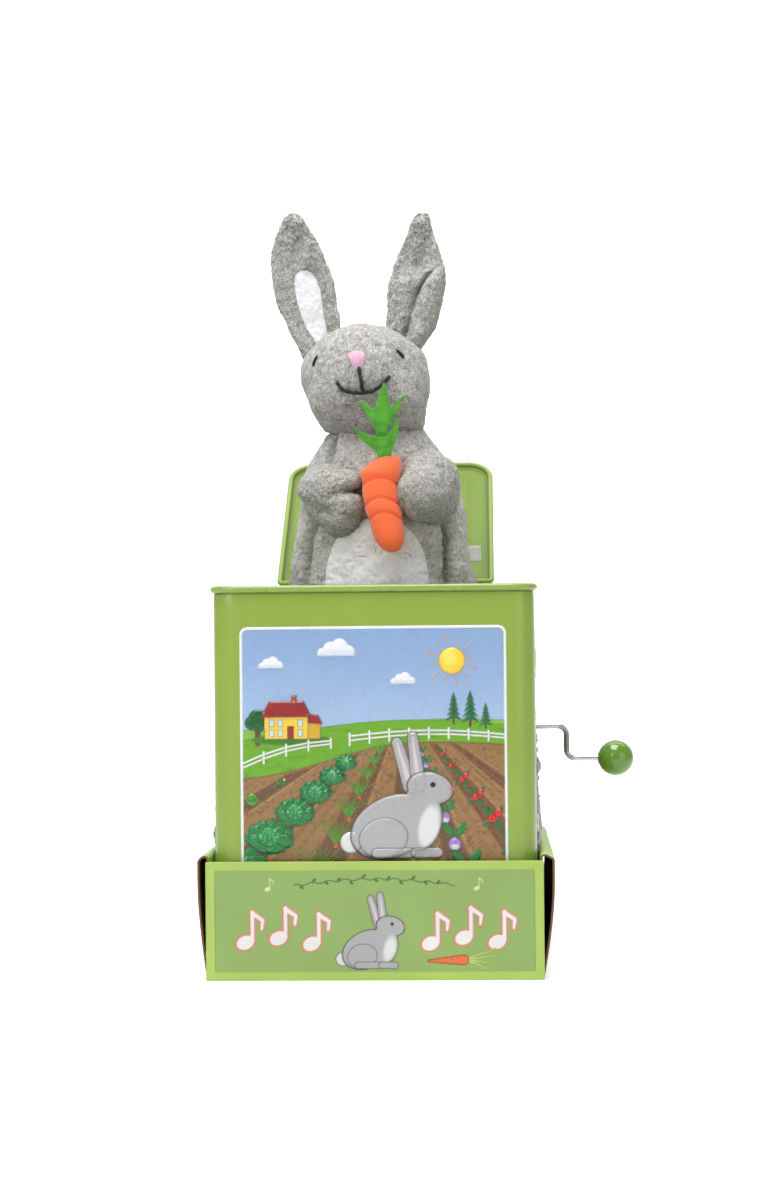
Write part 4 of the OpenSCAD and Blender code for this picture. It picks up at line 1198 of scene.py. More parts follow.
def top_panel():
    """Top of the tin: rolled rim outside, flat panel, curled edge round the opening."""
    rings = []

    def outer(w, z):
        rings.append(rounded_ring(2 * w, 2 * w, w - RIM_HALF + CORNER + 2, z, steps=16))

    def mouth(w, z):
        rings.append(rounded_ring(2 * w, 2 * w, w - OPENING / 2 + OPENING_CORNER, z, OPENING_Y, 16))

    middle = RIM_HALF - SEAM_R
    for angle in np.linspace(215, 500, 14):
        a = math.radians(angle)
        outer(middle + SEAM_R * math.cos(a), RIM_TOP - SEAM_R + SEAM_R * math.sin(a))
    for w, z in ((middle - 1.5, PLATE_TOP), (middle - 3.5, PLATE_TOP), (middle - 4.3, PLATE_TOP + 0.3),
                 (middle - 6.3, PLATE_TOP + 0.3), (middle - 7.1, PLATE_TOP)):
        outer(w, z)
    edge = OPENING / 2 + CURL_R
    mouth(edge + 2, PLATE_TOP)
    for angle in np.linspace(90, 330, 10):
        a = math.radians(angle)
        mouth(edge + CURL_R * math.cos(a), PLATE_TOP - CURL_R + CURL_R * math.sin(a))
    mouth(edge + 1.6, PLATE_TOP - SHEET)
    outer(middle - 2, PLATE_TOP - SHEET)
    return loft("top_panel", rings, FINISHES["seam"], loop=True, sharp=50)


def knuckle(start, end, strap_y, strap_z):
    """Sheet rolled round the hinge pin, and the strap that joins it on, as (points, faces)."""
    centre = np.array((0, HINGE_Y, HINGE_Z))
    heading = math.atan2(strap_z - HINGE_Z, strap_y - HINGE_Y)
    angles = heading + math.pi / 2 + np.linspace(0, math.radians(330), 26)
    section = [(start, 0), (start, 1), (start + 0.15, 1.1), (end - 0.15, 1.1), (end, 1), (end, 0)]
    inner, sheet = 0.95, 0.68

    def row(y, z, ny, nz):
        return np.array([(x, y + ny * sheet * s, z + nz * sheet * s) for x, s in section])

    rows = [row(centre[1] + inner * math.cos(a), centre[2] + inner * math.sin(a), math.cos(a), math.sin(a))
            for a in angles[::-1]]
    away = np.array((math.cos(heading), math.sin(heading)))
    reach = math.hypot(strap_y - HINGE_Y, strap_z - HINGE_Z)
    last = angles[0]
    for share in (0.5, 1.0):
        y = centre[1] + inner * math.cos(last) + away[0] * reach * share
        z = centre[2] + inner * math.sin(last) + away[1] * reach * share
        rows.append(row(y, z, math.cos(last), math.sin(last)))
    faces = grid_faces(len(rows), len(section), wrap=True).tolist()
    faces.append(list(range(len(section)))[::-1])
    faces.append([(len(rows) - 1) * len(section) + k for k in range(len(section))])
    return np.vstack(rows), faces


def frame_knuckles():
    """The three hinge knuckles of the rim."""
    parts = [knuckle(x, x + 12, HINGE_Y - 0.3, PLATE_TOP - 0.3) for x in (-38, -6, 26)]
    return build("frame_knuckles", *merge(parts), FINISHES["seam"], 40)


def lid_knuckles():
    """The two hinge knuckles of the lid, between those of the rim."""
    verts, faces = merge([knuckle(x, x + 18, LID_BACK - 0.6, LID_TOP - 0.5) for x in (-25, 7)])
    return build("lid_knuckles", turn_x(verts, -LID_OPEN, HINGE_Y, HINGE_Z), faces, FINISHES["seam"], 40)


def lid_panel():
    """Lid with a rolled hem, sunk inside the hem below and pressed up a little above."""
    length, mid_y = LID_BACK - LID_FRONT, (LID_BACK + LID_FRONT) / 2
    rings, paint = [], []
    # The groove colour is painted shade: a darker green in the narrow groove between the hem and the panel.
    hem, groove, panel = srgb(144, 168, 78), srgb(84, 104, 30), srgb(108, 136, 14)

    def ring(inset, z, colour):
        corner, heel = max(LID_CORNER - inset, 3.0), max(LID_HEEL - inset, 0.8)
        size = (LID_WIDTH - 2 * inset, length - 2 * inset)
        points = rounded_ring(*size, corner, z, mid_y, back=heel)
        rings.append(points)
        paint.extend([colour] * len(points))

    under = LID_TOP - SHEET
    for inset, z in ((14, under), (12.6, under), (12, under + 0.25), (4.4, under + 0.25)):
        ring(inset, z, panel)
    ring(4.2, under, panel)
    ring(3.2, under, groove)
    ring(2.6, under - 0.2, groove)
    for angle in np.linspace(200, 450, 14):
        a = math.radians(angle)
        ring(HEM_R - HEM_R * math.cos(a), LID_TOP - HEM_R + HEM_R * math.sin(a), hem)
    ring(2.5, LID_TOP, hem)
    ring(3.0, LID_TOP, srgb(144, 170, 60))
    for inset, z in ((4.6, LID_TOP), (5.4, LID_TOP + 0.3), (13, LID_TOP + 0.3), (14, LID_TOP)):
        ring(inset, z, srgb(144, 170, 60))
    verts = turn_x(np.vstack(rings), -LID_OPEN, HINGE_Y, HINGE_Z)
    count = len(rings[0])
    faces = grid_faces(len(rings), count, wrap=True).tolist()
    faces.append(list(range(count))[::-1])
    faces.append([(len(rings) - 1) * count + k for k in range(count)])
    return build("lid_panel", verts, faces, FINISHES["lid"], 50, paint)


# ---------------------------------------------------------------- crank and tray


def crank_wire():
    """Bent wire: out of the side, down, and out again into the ball."""
    bend = 3.8
    arm = 83.7
    low = cad_box("crank_knob")
    knob_z = (low[0][2] + low[1][2]) / 2
    start = cad_box("crank_rod")[0][0]
    path = [(x, 0, CRANK_Z) for x in np.linspace(start, arm - bend - 0.3, 12)]
    for a in np.radians(np.linspace(90, 0, 9)):
        path.append((arm - bend + bend * math.cos(a), 0, CRANK_Z - bend + bend * math.sin(a)))
    for a in np.radians(np.linspace(180, 270, 9)):
        path.append((arm + bend + bend * math.cos(a), 0, knob_z + bend + bend * math.sin(a)))
    path += [(x, 0, knob_z) for x in np.linspace(arm + bend + 0.4, low[1][0] - 8, 8)]
    return loft("crank_wire", tube(path, 1.2, 20), FINISHES["bright"], sharp=40)


def crank_ball():
    """Ball with the faint seam of its mould and a small collar where the wire enters."""
    low, high = cad_box("crank_knob")
    centre = (low + high) / 2
    r = (high[2] - low[2]) / 2
    profile_points = [(-r + 0.02, 1.3), (-r + 0.02, 2.1), (-r + 0.3, 2.5)]
    start = math.radians(18)
    for a in np.linspace(start, math.pi - 0.02, 44):
        seam = 0.05 * bell(math.degrees(a) - 90, 1.6)
        profile_points.append((-(r + seam) * math.cos(a), (r + seam) * math.sin(a)))
    turn = np.linspace(0, 2 * math.pi, 72, endpoint=False)
    rings = [np.c_[np.full(72, centre[0] + x), centre[1] + w * np.cos(turn), centre[2] + w * np.sin(turn)]
             for x, w in profile_points]
    return loft("crank_ball", rings, FINISHES["knob"], sharp=40)


def tray_wall(side):
    """Side wall of the tray: one board folded over into a hollow, bowed wall."""
    tall = 52.5
    swell = 4.9 if side > 0 else 3.8
    bow = [(swell * math.sin(math.radians(min(90, 2.1 * z))), z) for z in np.linspace(0, tall - 4, 12)]
    outer = [(71 + b, z) for b, z in bow] + [(70.8 + swell, tall - 2), (73.4, tall - 0.5), (72.2, tall)]
    outer += [(71.1, tall), (70.2, tall - 0.6), (69.95, tall - 1.6), (69.95, 1.4)]
    thick = 0.9
    line = curve_through(outer[:14], 60).tolist() + [list(p) for p in outer[14:]]
    line = np.array(line)
    ahead = np.gradient(line, axis=0)
    ahead /= np.linalg.norm(ahead, axis=1)[:, None]
    inner = line - np.c_[ahead[:, 1], -ahead[:, 0]] * thick
    inner[:, 1] = np.clip(inner[:, 1], 0, tall - 0.7)
    loop = np.vstack((line, inner[::-1]))
    rows = []
    for y in np.linspace(-71.9, 71.9, 40):
        sag = 0.25 * noise3(np.array([[y / 30, side * 3.1, 0.4]]), 8)[0]
        x = side * (loop[:, 0] + sag * smooth(20, 50, loop[:, 1]) * smooth(70.2, 72, loop[:, 0]))
        rows.append(np.c_[x, np.full(len(loop), y), loop[:, 1]])
    if side > 0:
        rows = rows[::-1]
    name = "tray_wall_right" if side > 0 else "tray_wall_left"
    wall = loft(name, rows, FINISHES["card"], sharp=50)

    def bare(at, out):
        outward_x = out[0] * side
        hollow = outward_x < -0.2 if abs(at[0]) > 71.6 else outward_x > 0.2
        return hollow or abs(out[1]) > 0.9

    return tint_faces(wall, FINISHES["kraft_edge"], bare)


def tray_floor():
    """Card floor of the tray."""
    rings = [rounded_ring(w, d, 0.8, z) for w, d, z in (
        (139.2, 143.6, 0.35), (139.8, 144.2, 0.0), (140, 144.4, 0.3), (140, 144.4, 0.9),
        (139.8, 144.2, 1.2), (139.0, 143.4, 1.2))]
    return loft("tray_floor", rings, FINISHES["kraft"], sharp=50)


def tray_back(step):
    """Picture on the back of the tray: one carrot at each side."""
    c = Canvas(TRAY_FRONT_W, 50.0, step, (176, 204, 100), 0.4)
    inner = np.maximum(np.abs(c.x) - 67.2, np.abs(c.y - 25) - 21.2)
    c.paint(inner, MOTIF_BACK, soft=0.12)
    for side in (-1, 1):
        printed_carrot(c, side * 26, 25, 15, -side)
    return c


def build_tin():
    """The tin with its four pictures, its lid and its crank."""
    fine = 0.32
    rough = 0.5
    place(tin_body(), "tin", "tin_shell", "tin_green")
    place(tin_foot(), "tin", "tin_base", "seam_green")
    place(top_panel(), "tin", "top_frame", "seam_green")
    place(frame_knuckles(), "tin", slot="seam_green")
    place(lid_panel(), "lid", "lid", "tin_green")
    place(lid_knuckles(), "lid", slot="seam_green")
    foot = PANEL_Z0
    rivets = [(y, z - foot, 3.6) for y in (-49, 12) for z in (CRANK_Z - 17, CRANK_Z + 25)]
    spots = [(0, CRANK_Z - foot, 6.5)] + rivets
    sides = (
        ("panel_front", farm_panel(fine, 0, True), (0, -HALF, foot), (1, 0, 0), (0, -1, 0)),
        ("panel_right", farm_panel(rough, 1, False, spots), (HALF, 0, foot), (0, 1, 0), (1, 0, 0)),
        ("panel_back", farm_panel(rough, 2, True), (0, HALF, foot), (-1, 0, 0), (0, 1, 0)),
        ("panel_left", farm_panel(rough, 3, False), (-HALF, 0, foot), (0, -1, 0), (-1, 0, 0)),
    )
    for name, canvas, origin, right, out in sides:
        place(canvas.mesh(name, FINISHES["print"], origin, right, out), "tin", slot="tin_green")
    place(crank_wire(), "crank", "crank_rod", "bright_steel")
    place(crank_ball(), "crank", "crank_knob", "knob_green")


def build_tray():
    """The card tray that the tin stands in."""
    step = 0.36
    front = tray_front(step).mesh("tray_front", FINISHES["card_print"], (0, TRAY_LOW[1] + 0.1, 0),
                                  (1, 0, 0), (0, -1, 0), 1.0)
    place(front, "tray", "display_tray", "tray_card")
    back = tray_back(3 * step).mesh("tray_back", FINISHES["card_print"], (0, TRAY_HIGH[1] - 0.1, 0),
                                    (-1, 0, 0), (0, 1, 0), 1.0)
    place(back, "tray", slot="tray_card")
    place(tray_wall(-1), "tray", slot="tray_card")
    place(tray_wall(1), "tray", slot="tray_card")
    place(tray_floor(), "tray", slot="tray_card")


# ---------------------------------------------------------------- plush


def quad_normals(points, faces):
    """Unit normals per point of any mesh, from the first corner of each of its faces."""
    return normals_of(points, [face[:3] for face in faces])


def nap(points, faces, depth=0.22, size=1.5, seed=1.0):
    """Raises a short matted pile: fine lumps over broader ones."""
    normals = quad_normals(points, faces)
    lumps = fbm(points, size, 2, seed) * depth + fbm(points, 7.0, 2, seed + 5) * depth * 1.6
    return points + normals * lumps[:, None]


def surface(points, faces):
    """A tree that answers where a line meets this surface."""
    return BVHTree.FromPolygons(points.tolist(), [list(f) for f in faces])


def on_front(tree, x, z, fallback=-30.0):
    """Point where a line along +Y at x, z first meets a surface, and its normal."""
    hit, normal, _, _ = tree.ray_cast(Vector((x, -90, z)), Vector((0, 1, 0)))
    if hit is None:
        return np.array((x, fallback, z)), np.array((0.0, -1.0, 0.0))
    return np.array(hit), np.array(normal)


def grid_solid(points, material, name, depth=0.2, size=1.5, seed=1.0):
    """Skin over a closed stack of rings, napped."""
    rows, columns = points.shape[:2]
    verts = points.reshape(-1, 3)
    faces = grid_faces(rows, columns, wrap=True).tolist()
    verts = nap(verts, faces, depth, size, seed)
    faces.append(list(range(columns))[::-1])
    faces.append([(rows - 1) * columns + k for k in range(columns)])
    return build(name, verts, faces, material, None)


HEAD_WIDTHS = [(234, 13.6), (236.5, 20.4), (239, 23), (246, 25.2), (254, 28), (262, 29), (269, 27.6),
               (275, 23.6), (280, 17.6), (283.4, 10.5), (285.4, 2)]


def head_shape():
    """Stuffed head: round above, straighter jowls below, a soft muzzle and a pinched seam."""
    centre = np.array((HEAD_LOW + HEAD_HIGH) / 2) + (0, 0, 1)

    def field(p):
        half = np.maximum(profile(HEAD_WIDTHS, np.clip(p[:, 2], 234, 285.4)), 0.4)
        sideways = centre[0] + np.maximum(262 - p[:, 2], 0) * 0.14
        deep = half * 0.88
        reach = np.hypot((p[:, 0] - sideways) / half, (p[:, 1] - centre[1]) / deep)
        skull = (reach - 1) * half + np.maximum(p[:, 2] - 285.4, 0) * 4 + np.maximum(234 - p[:, 2], 0) * 4
        muzzle = ellipsoid(p, (-7.1, -18.5, 257.5), (14.5, 10.5, 12.5))
        cheeks = [ellipsoid(p, (x, -14, 250), (12, 12.5, 11)) for x in (-17.5, 7.5)]
        brow = ellipsoid(p, (-6.5, -14, 272), (17, 11, 10))
        whole = skull
        for part, blend in ((muzzle, 7), (cheeks[0], 6), (cheeks[1], 6), (brow, 7)):
            whole = soft_join(whole, part, blend)
        return whole

    points, faces = blob(centre, field, 44, 6)
    seam = bell(points[:, 0] + 6.0, 0.7) * smooth(272, 278, points[:, 2])
    points -= normals_of(points, faces) * (0.45 * seam)[:, None]
    return nap(points, faces, 0.34, 1.3, 3), faces


def satin(tree, outline, count, thick, lift):
    """Parallel stitches side by side; outline(share) gives the two ends of each in x, z."""
    ends = np.linspace(0, 1, 11)
    paths, outs = [], []
    for k in range(count):
        low, high = (np.array(end) for end in outline((k + 0.5) / count))
        hits = [on_front(tree, *(low + (high - low) * t)) for t in ends]
        paths.append(np.array([at for at, _ in hits]))
        outs += [out for _, out in hits]
    ahead = np.mean(outs, axis=0)
    parts = []
    for k, path in enumerate(paths):
        full = math.sin(math.pi * (0.06 + 0.88 * (k + 0.5) / count))
        rise = lift * np.sqrt(np.sin(math.pi * ends) * full) - 0.25
        path = path + ahead * rise[:, None]
        path[1:-1] = (path[:-2] + path[1:-1] + path[2:]) / 3
        wide = thick * (0.75 + 0.25 * np.sin(math.pi * ends)) * (1 + 0.08 * math.sin(9.1 * k))
        parts.append(tube_part(path, wide, 8))
    return merge(parts)


def nose_stitches(tree):
    """Padded satin stitch: level at the top, round at the sides, narrowing to a foot."""
    low, high = cad_box("nose")
    middle, top = (low[0] + high[0]) / 2, high[2]

    def outline(share):
        u = 2 * share - 1
        crown = top - 1.9 * abs(u) ** 2.6 - 0.18 * math.cos(9 * u)
        foot = top - 8.7 + 4.6 * abs(u) ** 2.7
        return (middle + 0.9 + 3.1 * u, foot), (middle + 3.9 * u, crown)

    return merge([satin(tree, outline, 9, 0.6, 1.6), satin(tree, outline, 12, 0.34, 2.15)])


def eye_stitches(tree):
    """Two short slanting eyes of four strands each."""
    low, high = cad_box("eyes")
    parts = []
    for x, z, lean, tall in ((low[0] + 2.0, 267.3, 24, 6.0), (high[0] - 2.4, 269.5, -43, 5.7)):
        a = math.radians(lean)
        along, across = np.array((math.sin(a), math.cos(a))), np.array((math.cos(a), -math.sin(a)))

        def outline(share):
            shift = across * (share - 0.5) * 1.25
            half = along * tall / 2 * (0.62 + 0.38 * math.sin(math.pi * share))
            middle = np.array((x, z)) + shift
            return middle - half, middle + half

        parts.append(satin(tree, outline, 4, 0.27, 0.7))
    return merge(parts)


def back_stitch(tree, places, thick, stitches):
    """A line of thread that dips where each stitch ends."""
    path = curve_through(places, 14 * stitches)
    dips = np.abs(np.sin(math.pi * stitches * np.linspace(0, 1, len(path))))
    points = []
    for (x, z), dip in zip(path, dips):
        at, out = on_front(tree, x, z)
        points.append(at + out * (0.3 + 0.4 * dip**0.5))
    return tube_part(points, thick * (0.78 + 0.22 * dips**0.5), 10)


SMILE = [(-16.6, 256.6), (-15.2, 254.5), (-12.9, 252.9), (-9.4, 252.1), (-5.1, 251.9), (-1.2, 252.6),
         (2.1, 254.3), (4.6, 256.5), (6.3, 258.9)]
LIP_LINE = [(-6.7, 262.8), (-6.2, 259), (-5.6, 255.4), (-5.2, 252.2)]


def mouth_stitches(tree):
    """Back stitches along the smile and under the nose."""
    return merge([back_stitch(tree, SMILE, 0.84, 9), back_stitch(tree, LIP_LINE, 0.84, 3)])


# Outlines as (height, left edge, right edge).
EAR_LEFT = [(266, -31.8, -18.3), (272, -34.4, -16.6), (277.5, -36.9, -16.4), (284, -40.2, -16.7),
            (290.8, -43.6, -17.0), (297.4, -45.9, -18.2), (304, -47.3, -19.3), (310.7, -48.1, -21.2),
            (317.3, -47.7, -24.0), (324, -46.3, -27.0), (330.6, -44.1, -30.8), (334.2, -42.2, -33.0),
            (336.4, -40.0, -35.4), (337.1, -38.6, -37.0)]
EAR_RIGHT = [(264, 3.4, 14.4), (272.2, 2.0, 18.4), (277.5, 2.3, 22.5), (284, 3.3, 26.7),
             (290.8, 4.5, 28.8), (297.4, 4.7, 30.3), (304, 5.3, 31.3), (310.7, 7.1, 31.0),
             (317.3, 9.8, 29.4), (324, 12.6, 27.0), (330.6, 15.2, 25.2), (333.9, 16.9, 24.3),
             (336.0, 19.6, 22.8)]
LINING_LEFT = [(273, -25.2, -19.6), (278, -28.0, -21.6), (284.4, -32.0, -23.0), (291, -34.7, -24.4),
               (297, -36.4, -25.1), (303, -37.4, -26.2), (307, -37.5, -27.7), (309.6, -36.7, -29.4),
               (310.9, -34.8, -31.6)]
CREASE = [(264, 10.0), (277.7, 12.0), (284.7, 14.4), (293.3, 16.8), (298, 18.4), (302.9, 20.5),
          (307.8, 23.9), (311.7, 28.9), (313.5, 31.0)]


def ear_shape(table, front, back, rows, columns):
    """Ear as level rings between its left and right edges; front and back give Y at u, z."""
    table = np.array(table, float)
    share = np.linspace(0, 1, rows)
    z = table[0, 0] + (table[-1, 0] - table[0, 0]) * (1 - (1 - share) ** 1.7)
    left, right = profile(table[:, (0, 1)], z), profile(table[:, (0, 2)], z)
    turn = np.linspace(0, 2 * math.pi, 2 * columns, endpoint=False)
    u = np.cos(turn)
    rim = np.sqrt(np.clip(1 - np.abs(u) ** 5, 0, 1)) * np.sign(np.sin(turn))
    grid = np.empty((rows, len(turn), 3))
    for k in range(rows):
        x = (left[k] + right[k]) / 2 + u * (right[k] - left[k]) / 2
        y_front, y_back = front(u, x, z[k]), back(u, x, z[k])
        middle, half = (y_front + y_back) / 2, np.abs(y_back - y_front) / 2
        thin = 0.3 + 0.7 * smooth(table[-1, 0] + 0.6, table[-1, 0] - 5, z[k])
        grid[k] = np.c_[x, middle + half * rim * thin, np.full(len(u), z[k])]
    return grid


def inside_band(table, x, z):
    """How far x, z lies inside an outline given as (height, left, right); negative outside."""
    table = np.array(table, float)
    left, right = np.interp(z, table[:, 0], table[:, 1]), np.interp(z, table[:, 0], table[:, 2])
    return np.minimum(np.minimum(x - left, right - x), table[-1, 0] - z)


def left_ear():
    """Open ear: a dished sheet with rolled edges, sunk under its lining, hollow above it."""
    base = EAR_LEFT[0][0]

    def front(u, x, z):
        dish = 3.8 * smooth(base, 290, z) * smooth(339, 324, z)
        roll = dish * (np.abs(u) ** 2.6 - 0.45)
        sunk = 1.5 * smooth(-0.5, 0.7, inside_band(LINING_LEFT, x, z))
        line = -36.2 + 0.10 * (z - 318)
        hollow = 2.3 * bell(x - line, 2.6) * smooth(307, 314, z) * smooth(333, 322, z)
        lip = 1.3 * bell(x - line - 4.5, 3.0) * smooth(307, 314, z) * smooth(331, 320, z)
        return -1.6 - roll + sunk + hollow - lip

    def back(u, x, z):
        return 2.6 + 0.35 * front(u, x, z) + 1.2 * (1 - u**2)

    rows, columns = ((150, 72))
    return ear_shape(EAR_LEFT, front, back, rows, columns)


def right_ear():
    """Folded ear: both halves roll forward, and the right one lies over the left."""
    edges = np.array(EAR_RIGHT)
    crease = np.array(CREASE)

    def dome(at, low, high):
        middle, half = (low + high) / 2, np.maximum((high - low) / 2, 0.05)
        return np.clip(1 - ((at - middle) / half) ** 2, 0, 1) ** 0.7

    def front(u, x, z):
        left, right = np.interp(z, edges[:, 0], edges[:, 1]), np.interp(z, edges[:, 0], edges[:, 2])
        fold = np.interp(z, crease[:, 0], crease[:, 1])
        closed = smooth(314, 303, z)
        flap = min(1.0, max(right - fold, 0) / 6)
        under = 3.6 * dome(x, left, fold + 0.6)
        over = (5.2 * dome(x, fold - 0.6, right) + 0.2) * flap
        lobes = np.where(x < fold, under, over)
        deep = 0.3 + 0.7 * (bell(z - 273, 9) + bell(z - 303, 5))
        pit = 2.6 * bell(x - fold + 0.3, 1.3) * smooth(312, 306, z) * deep
        valley = 17.6 + 0.22 * (z - 300)
        tip = 1.7 * np.abs(u) ** 2.2 + 0.9 - 3.0 * bell(x - valley, 3.0) * smooth(335, 322, z)
        return -(0.2 + lobes * closed + tip * (1 - closed) - pit)

    def back(u, x, z):
        return 3.9 - 1.2 * np.abs(u) ** 2

    rows, columns = ((170, 84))
    return ear_shape(EAR_RIGHT, front, back, rows, columns)


def lining(tree, name, table):
    """Soft white inset between the edges in table, laid on the ear behind it."""
    rows, columns = ((80, 30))
    edges = np.array(table, float)
    heights = edges[0, 0] + (edges[-1, 0] - edges[0, 0]) * np.linspace(0, 1, rows) ** 0.8
    left, right = profile(edges[:, (0, 1)], heights), profile(edges[:, (0, 2)], heights)
    front, back = [], []
    for k, z in enumerate(heights):
        ends = smooth(edges[-1, 0], edges[-1, 0] - 2.5, z)
        for s in np.linspace(-1, 1, columns):
            x = (left[k] + right[k]) / 2 + s * (right[k] - left[k]) / 2
            at, _ = on_front(tree, x, z, -2.5)
            plump = 0.9 * max((1 - s**4) * ends, 0) ** 0.5
            front.append((x, at[1] - 0.1 - plump, z))
            back.append((x, at[1] + 0.5, z))
    return sheet(name, np.array(front), np.array(back), rows, columns, FINISHES["white_fur"], 0.12)


def sheet(name, front, back, rows, columns, material, depth=0.1, size=1.2):
    """Closed sheet between a front and a back grid of points."""
    index = np.arange(rows * columns).reshape(rows, columns)
    edge = np.concatenate((index[0], index[1:, -1], index[-1, -2::-1], index[-2:0:-1, 0]))
    after = np.roll(edge, -1)
    total = rows * columns
    ahead = grid_faces(rows, columns)
    front = front + quad_normals(front, ahead) * (fbm(front, size, 2, 2) * depth)[:, None]
    walls = np.c_[edge[::-1], after[::-1], after[::-1] + total, edge[::-1] + total]
    walls = walls[:, ::-1]
    faces = ahead.tolist() + (ahead[:, ::-1] + total).tolist() + walls.tolist()
    obj = build(name, np.vstack((front, back)), faces, material, None)
    return outward(obj)


def outward(obj):
    """Makes every face of a closed mesh look outwards."""
    mesh = bmesh.new()
    mesh.from_mesh(obj.data)
    bmesh.ops.recalc_face_normals(mesh, faces=mesh.faces)
    mesh.to_mesh(obj.data)
    mesh.free()
    return obj


BODY_EDGES = [(4.5, -39, 39), (60, -41.5, 42), (150, -42.2, 44), (162, -41.4, 44), (170, -40.4, 43.4),
              (178, -39.5, 41.2), (186, -38.5, 39.9), (193, -37.4, 39.7), (200, -35.9, 39.1),
              (207, -34.9, 37.6), (214, -34.2, 35.4), (220, -32.4, 32.6), (226, -28.9, 29.2),
              (231, -25.6, 25.6), (235.5, -22.6, 22.3), (238.5, -19.5, 19.4)]
# Soft folds round the sleeve: degrees from +X (front is -90), height, width, depth, lean per mm.
SOFT_FOLDS = [(60, 190, 14, -2.0, 0.1), (95, 200, 12, 1.6, 0.1), (130, 185, 13, -2.2, -0.1),
              (170, 200, 10, -1.4, 0.0), (20, 205, 9, -1.6, 0.1), (-20, 150, 14, 1.4, 0.1),
              (-165, 150, 12, 1.4, 0.0)]
# Creases drawn on the front: the line they follow as (x, z), their width, and their depth.
CREASES = [
    ([(28.8, 203), (30.4, 196), (31.2, 186), (31.4, 174), (31.8, 160)], 1.6, -9.5),
    ([(34.2, 204), (35.2, 190), (35.8, 176), (37.5, 160)], 3.0, 1.6),
    ([(26.6, 192), (26.6, 178), (27.0, 160)], 2.6, 1.5),
    ([(-25.5, 201), (-28.8, 192), (-31.0, 182), (-32.6, 170), (-33.2, 160)], 1.5, -7.0),
    ([(-29.6, 203), (-32.6, 194), (-35, 183), (-36.6, 170)], 2.2, 1.6),
    ([(-24.0, 192), (-26.6, 178), (-27.8, 162)], 2.6, 1.5),
    ([(-18.2, 240), (-19.6, 231), (-21.2, 223), (-23.4, 213)], 1.6, -4.4),
    ([(-22.4, 236), (-23.8, 230), (-26.8, 224)], 1.8, 1.4),
    ([(-14.5, 237), (-14.8, 229), (-14, 221)], 3.4, 1.4),
    ([(-26.4, 228), (-28.4, 222), (-29.6, 218)], 1.2, -2.6),
    ([(19.6, 237), (22.2, 231), (25.6, 226.5)], 1.4, -3.2),
    ([(14, 238), (15.5, 231), (17, 224)], 3.2, 1.2),
    ([(1.5, 237), (0.5, 230), (-4, 222)], 3.2, -1.6),
]


def crease_depth(x, z):
    """Total depth of the drawn creases at points x, z; each fades towards its ends."""
    total = np.zeros(len(x))
    for line, width, depth in CREASES:
        path = curve_through(line, 48)
        away = np.array([np.hypot(x - px, z - pz) for px, pz in path])
        along = away.argmin(axis=0) / len(path)
        fade = smooth(-0.05, 0.2, along) * smooth(1.05, 0.75, along)
        total += depth * bell(away.min(axis=0), width) * fade
    return total


def body_point(a, z, shrink=0.0):
    """Points of the cloth sleeve at angles a (degrees from +X) and one height."""
    table = np.array(BODY_EDGES)
    left, right = profile(table[:, (0, 1)], z) + shrink, profile(table[:, (0, 2)], z) - shrink
    half, mid = (right - left) / 2, (right + left) / 2
    out = np.zeros(len(a))
    for angle, height, width, depth, lean in SOFT_FOLDS:
        off = (a - angle - lean * (z - height) + 180) % 360 - 180
        out += depth * bell(off, width) * bell(z - height, 22) * smooth(238, 230, z)
    out += 0.45 * np.sin(np.radians(a) * 22 + 0.4 * math.sin(z / 7)) * smooth(228, 237, z)
    power = 2.25
    c, s = np.cos(np.radians(a)), np.sin(np.radians(a))
    x = mid + (half + out * np.abs(s)) * np.sign(c) * np.abs(c) ** (2 / power)
    y = (half * 0.72 + out) * np.sign(s) * np.abs(s) ** (2 / power)
    ahead = np.c_[np.roll(x, -1) - np.roll(x, 1), np.roll(y, -1) - np.roll(y, 1)]
    ahead /= np.linalg.norm(ahead, axis=1)[:, None]
    sink = crease_depth(x, np.full(len(a), z)) * smooth(4, -4, y)
    sink *= np.clip(1 - np.abs(x - mid) / (half + 0.1), 0, 1) ** 0.2
    return np.c_[x + ahead[:, 1] * sink, y - ahead[:, 0] * sink, np.full(len(a), z)]


def body_sleeve():
    """Cloth sleeve over the spring, open at both ends, and its outer skin's points and faces."""
    columns = 380
    above = np.linspace(151, 238, 130)
    heights = np.concatenate((np.linspace(4.8, 150, 30), above))
    a = np.linspace(-180, 180, columns, endpoint=False)
    outer = np.array([body_point(a, z) for z in heights])
    inner = np.array([body_point(a, z, 1.5) for z in heights[::-1]])
    inner[:, :, 1] *= 0.97
    verts = outer.reshape(-1, 3)
    faces = grid_faces(len(heights), columns, wrap=True)
    verts = nap(verts, faces.tolist(), 0.36, 1.3, 7)
    every = grid_faces(2 * len(heights), columns, wrap=True, close=True)
    both = np.vstack((verts, inner.reshape(-1, 3)))
    return build("body_sleeve", both, every, FINISHES["lit_sleeve_fur"], None), verts, faces


BELLY_TOP, BELLY_LOW, BELLY_X = 197.0, 108.0, 0.2


def belly_panel(tree):
    """White front panel of the sleeve, following it a little proud, with a plump edge."""
    rows, columns = ((150, 76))
    front, back = [], []
    for t in np.linspace(0, 1, rows):
        z = BELLY_LOW + (BELLY_TOP - BELLY_LOW) * t
        v = (z - 164) / (33 if z > 164 else 56)
        half = 23.0 * max(1 - abs(v) ** 2.6, 0.02) ** 0.5
        for s in np.linspace(-1, 1, columns):
            x = BELLY_X + half * s
            at, out = on_front(tree, x, z)
            plump = 0.9 * max(1 - s**8, 0) ** 0.5 * max(1 - abs(2 * t - 1) ** 20, 0) ** 0.5
            front.append(at + out * (0.15 + plump))
            back.append(at - out * 0.5)
    white = FINISHES["white_fur"]
    return sheet("belly_panel", np.array(front), np.array(back), rows, columns, white, 0.22, 1.5)


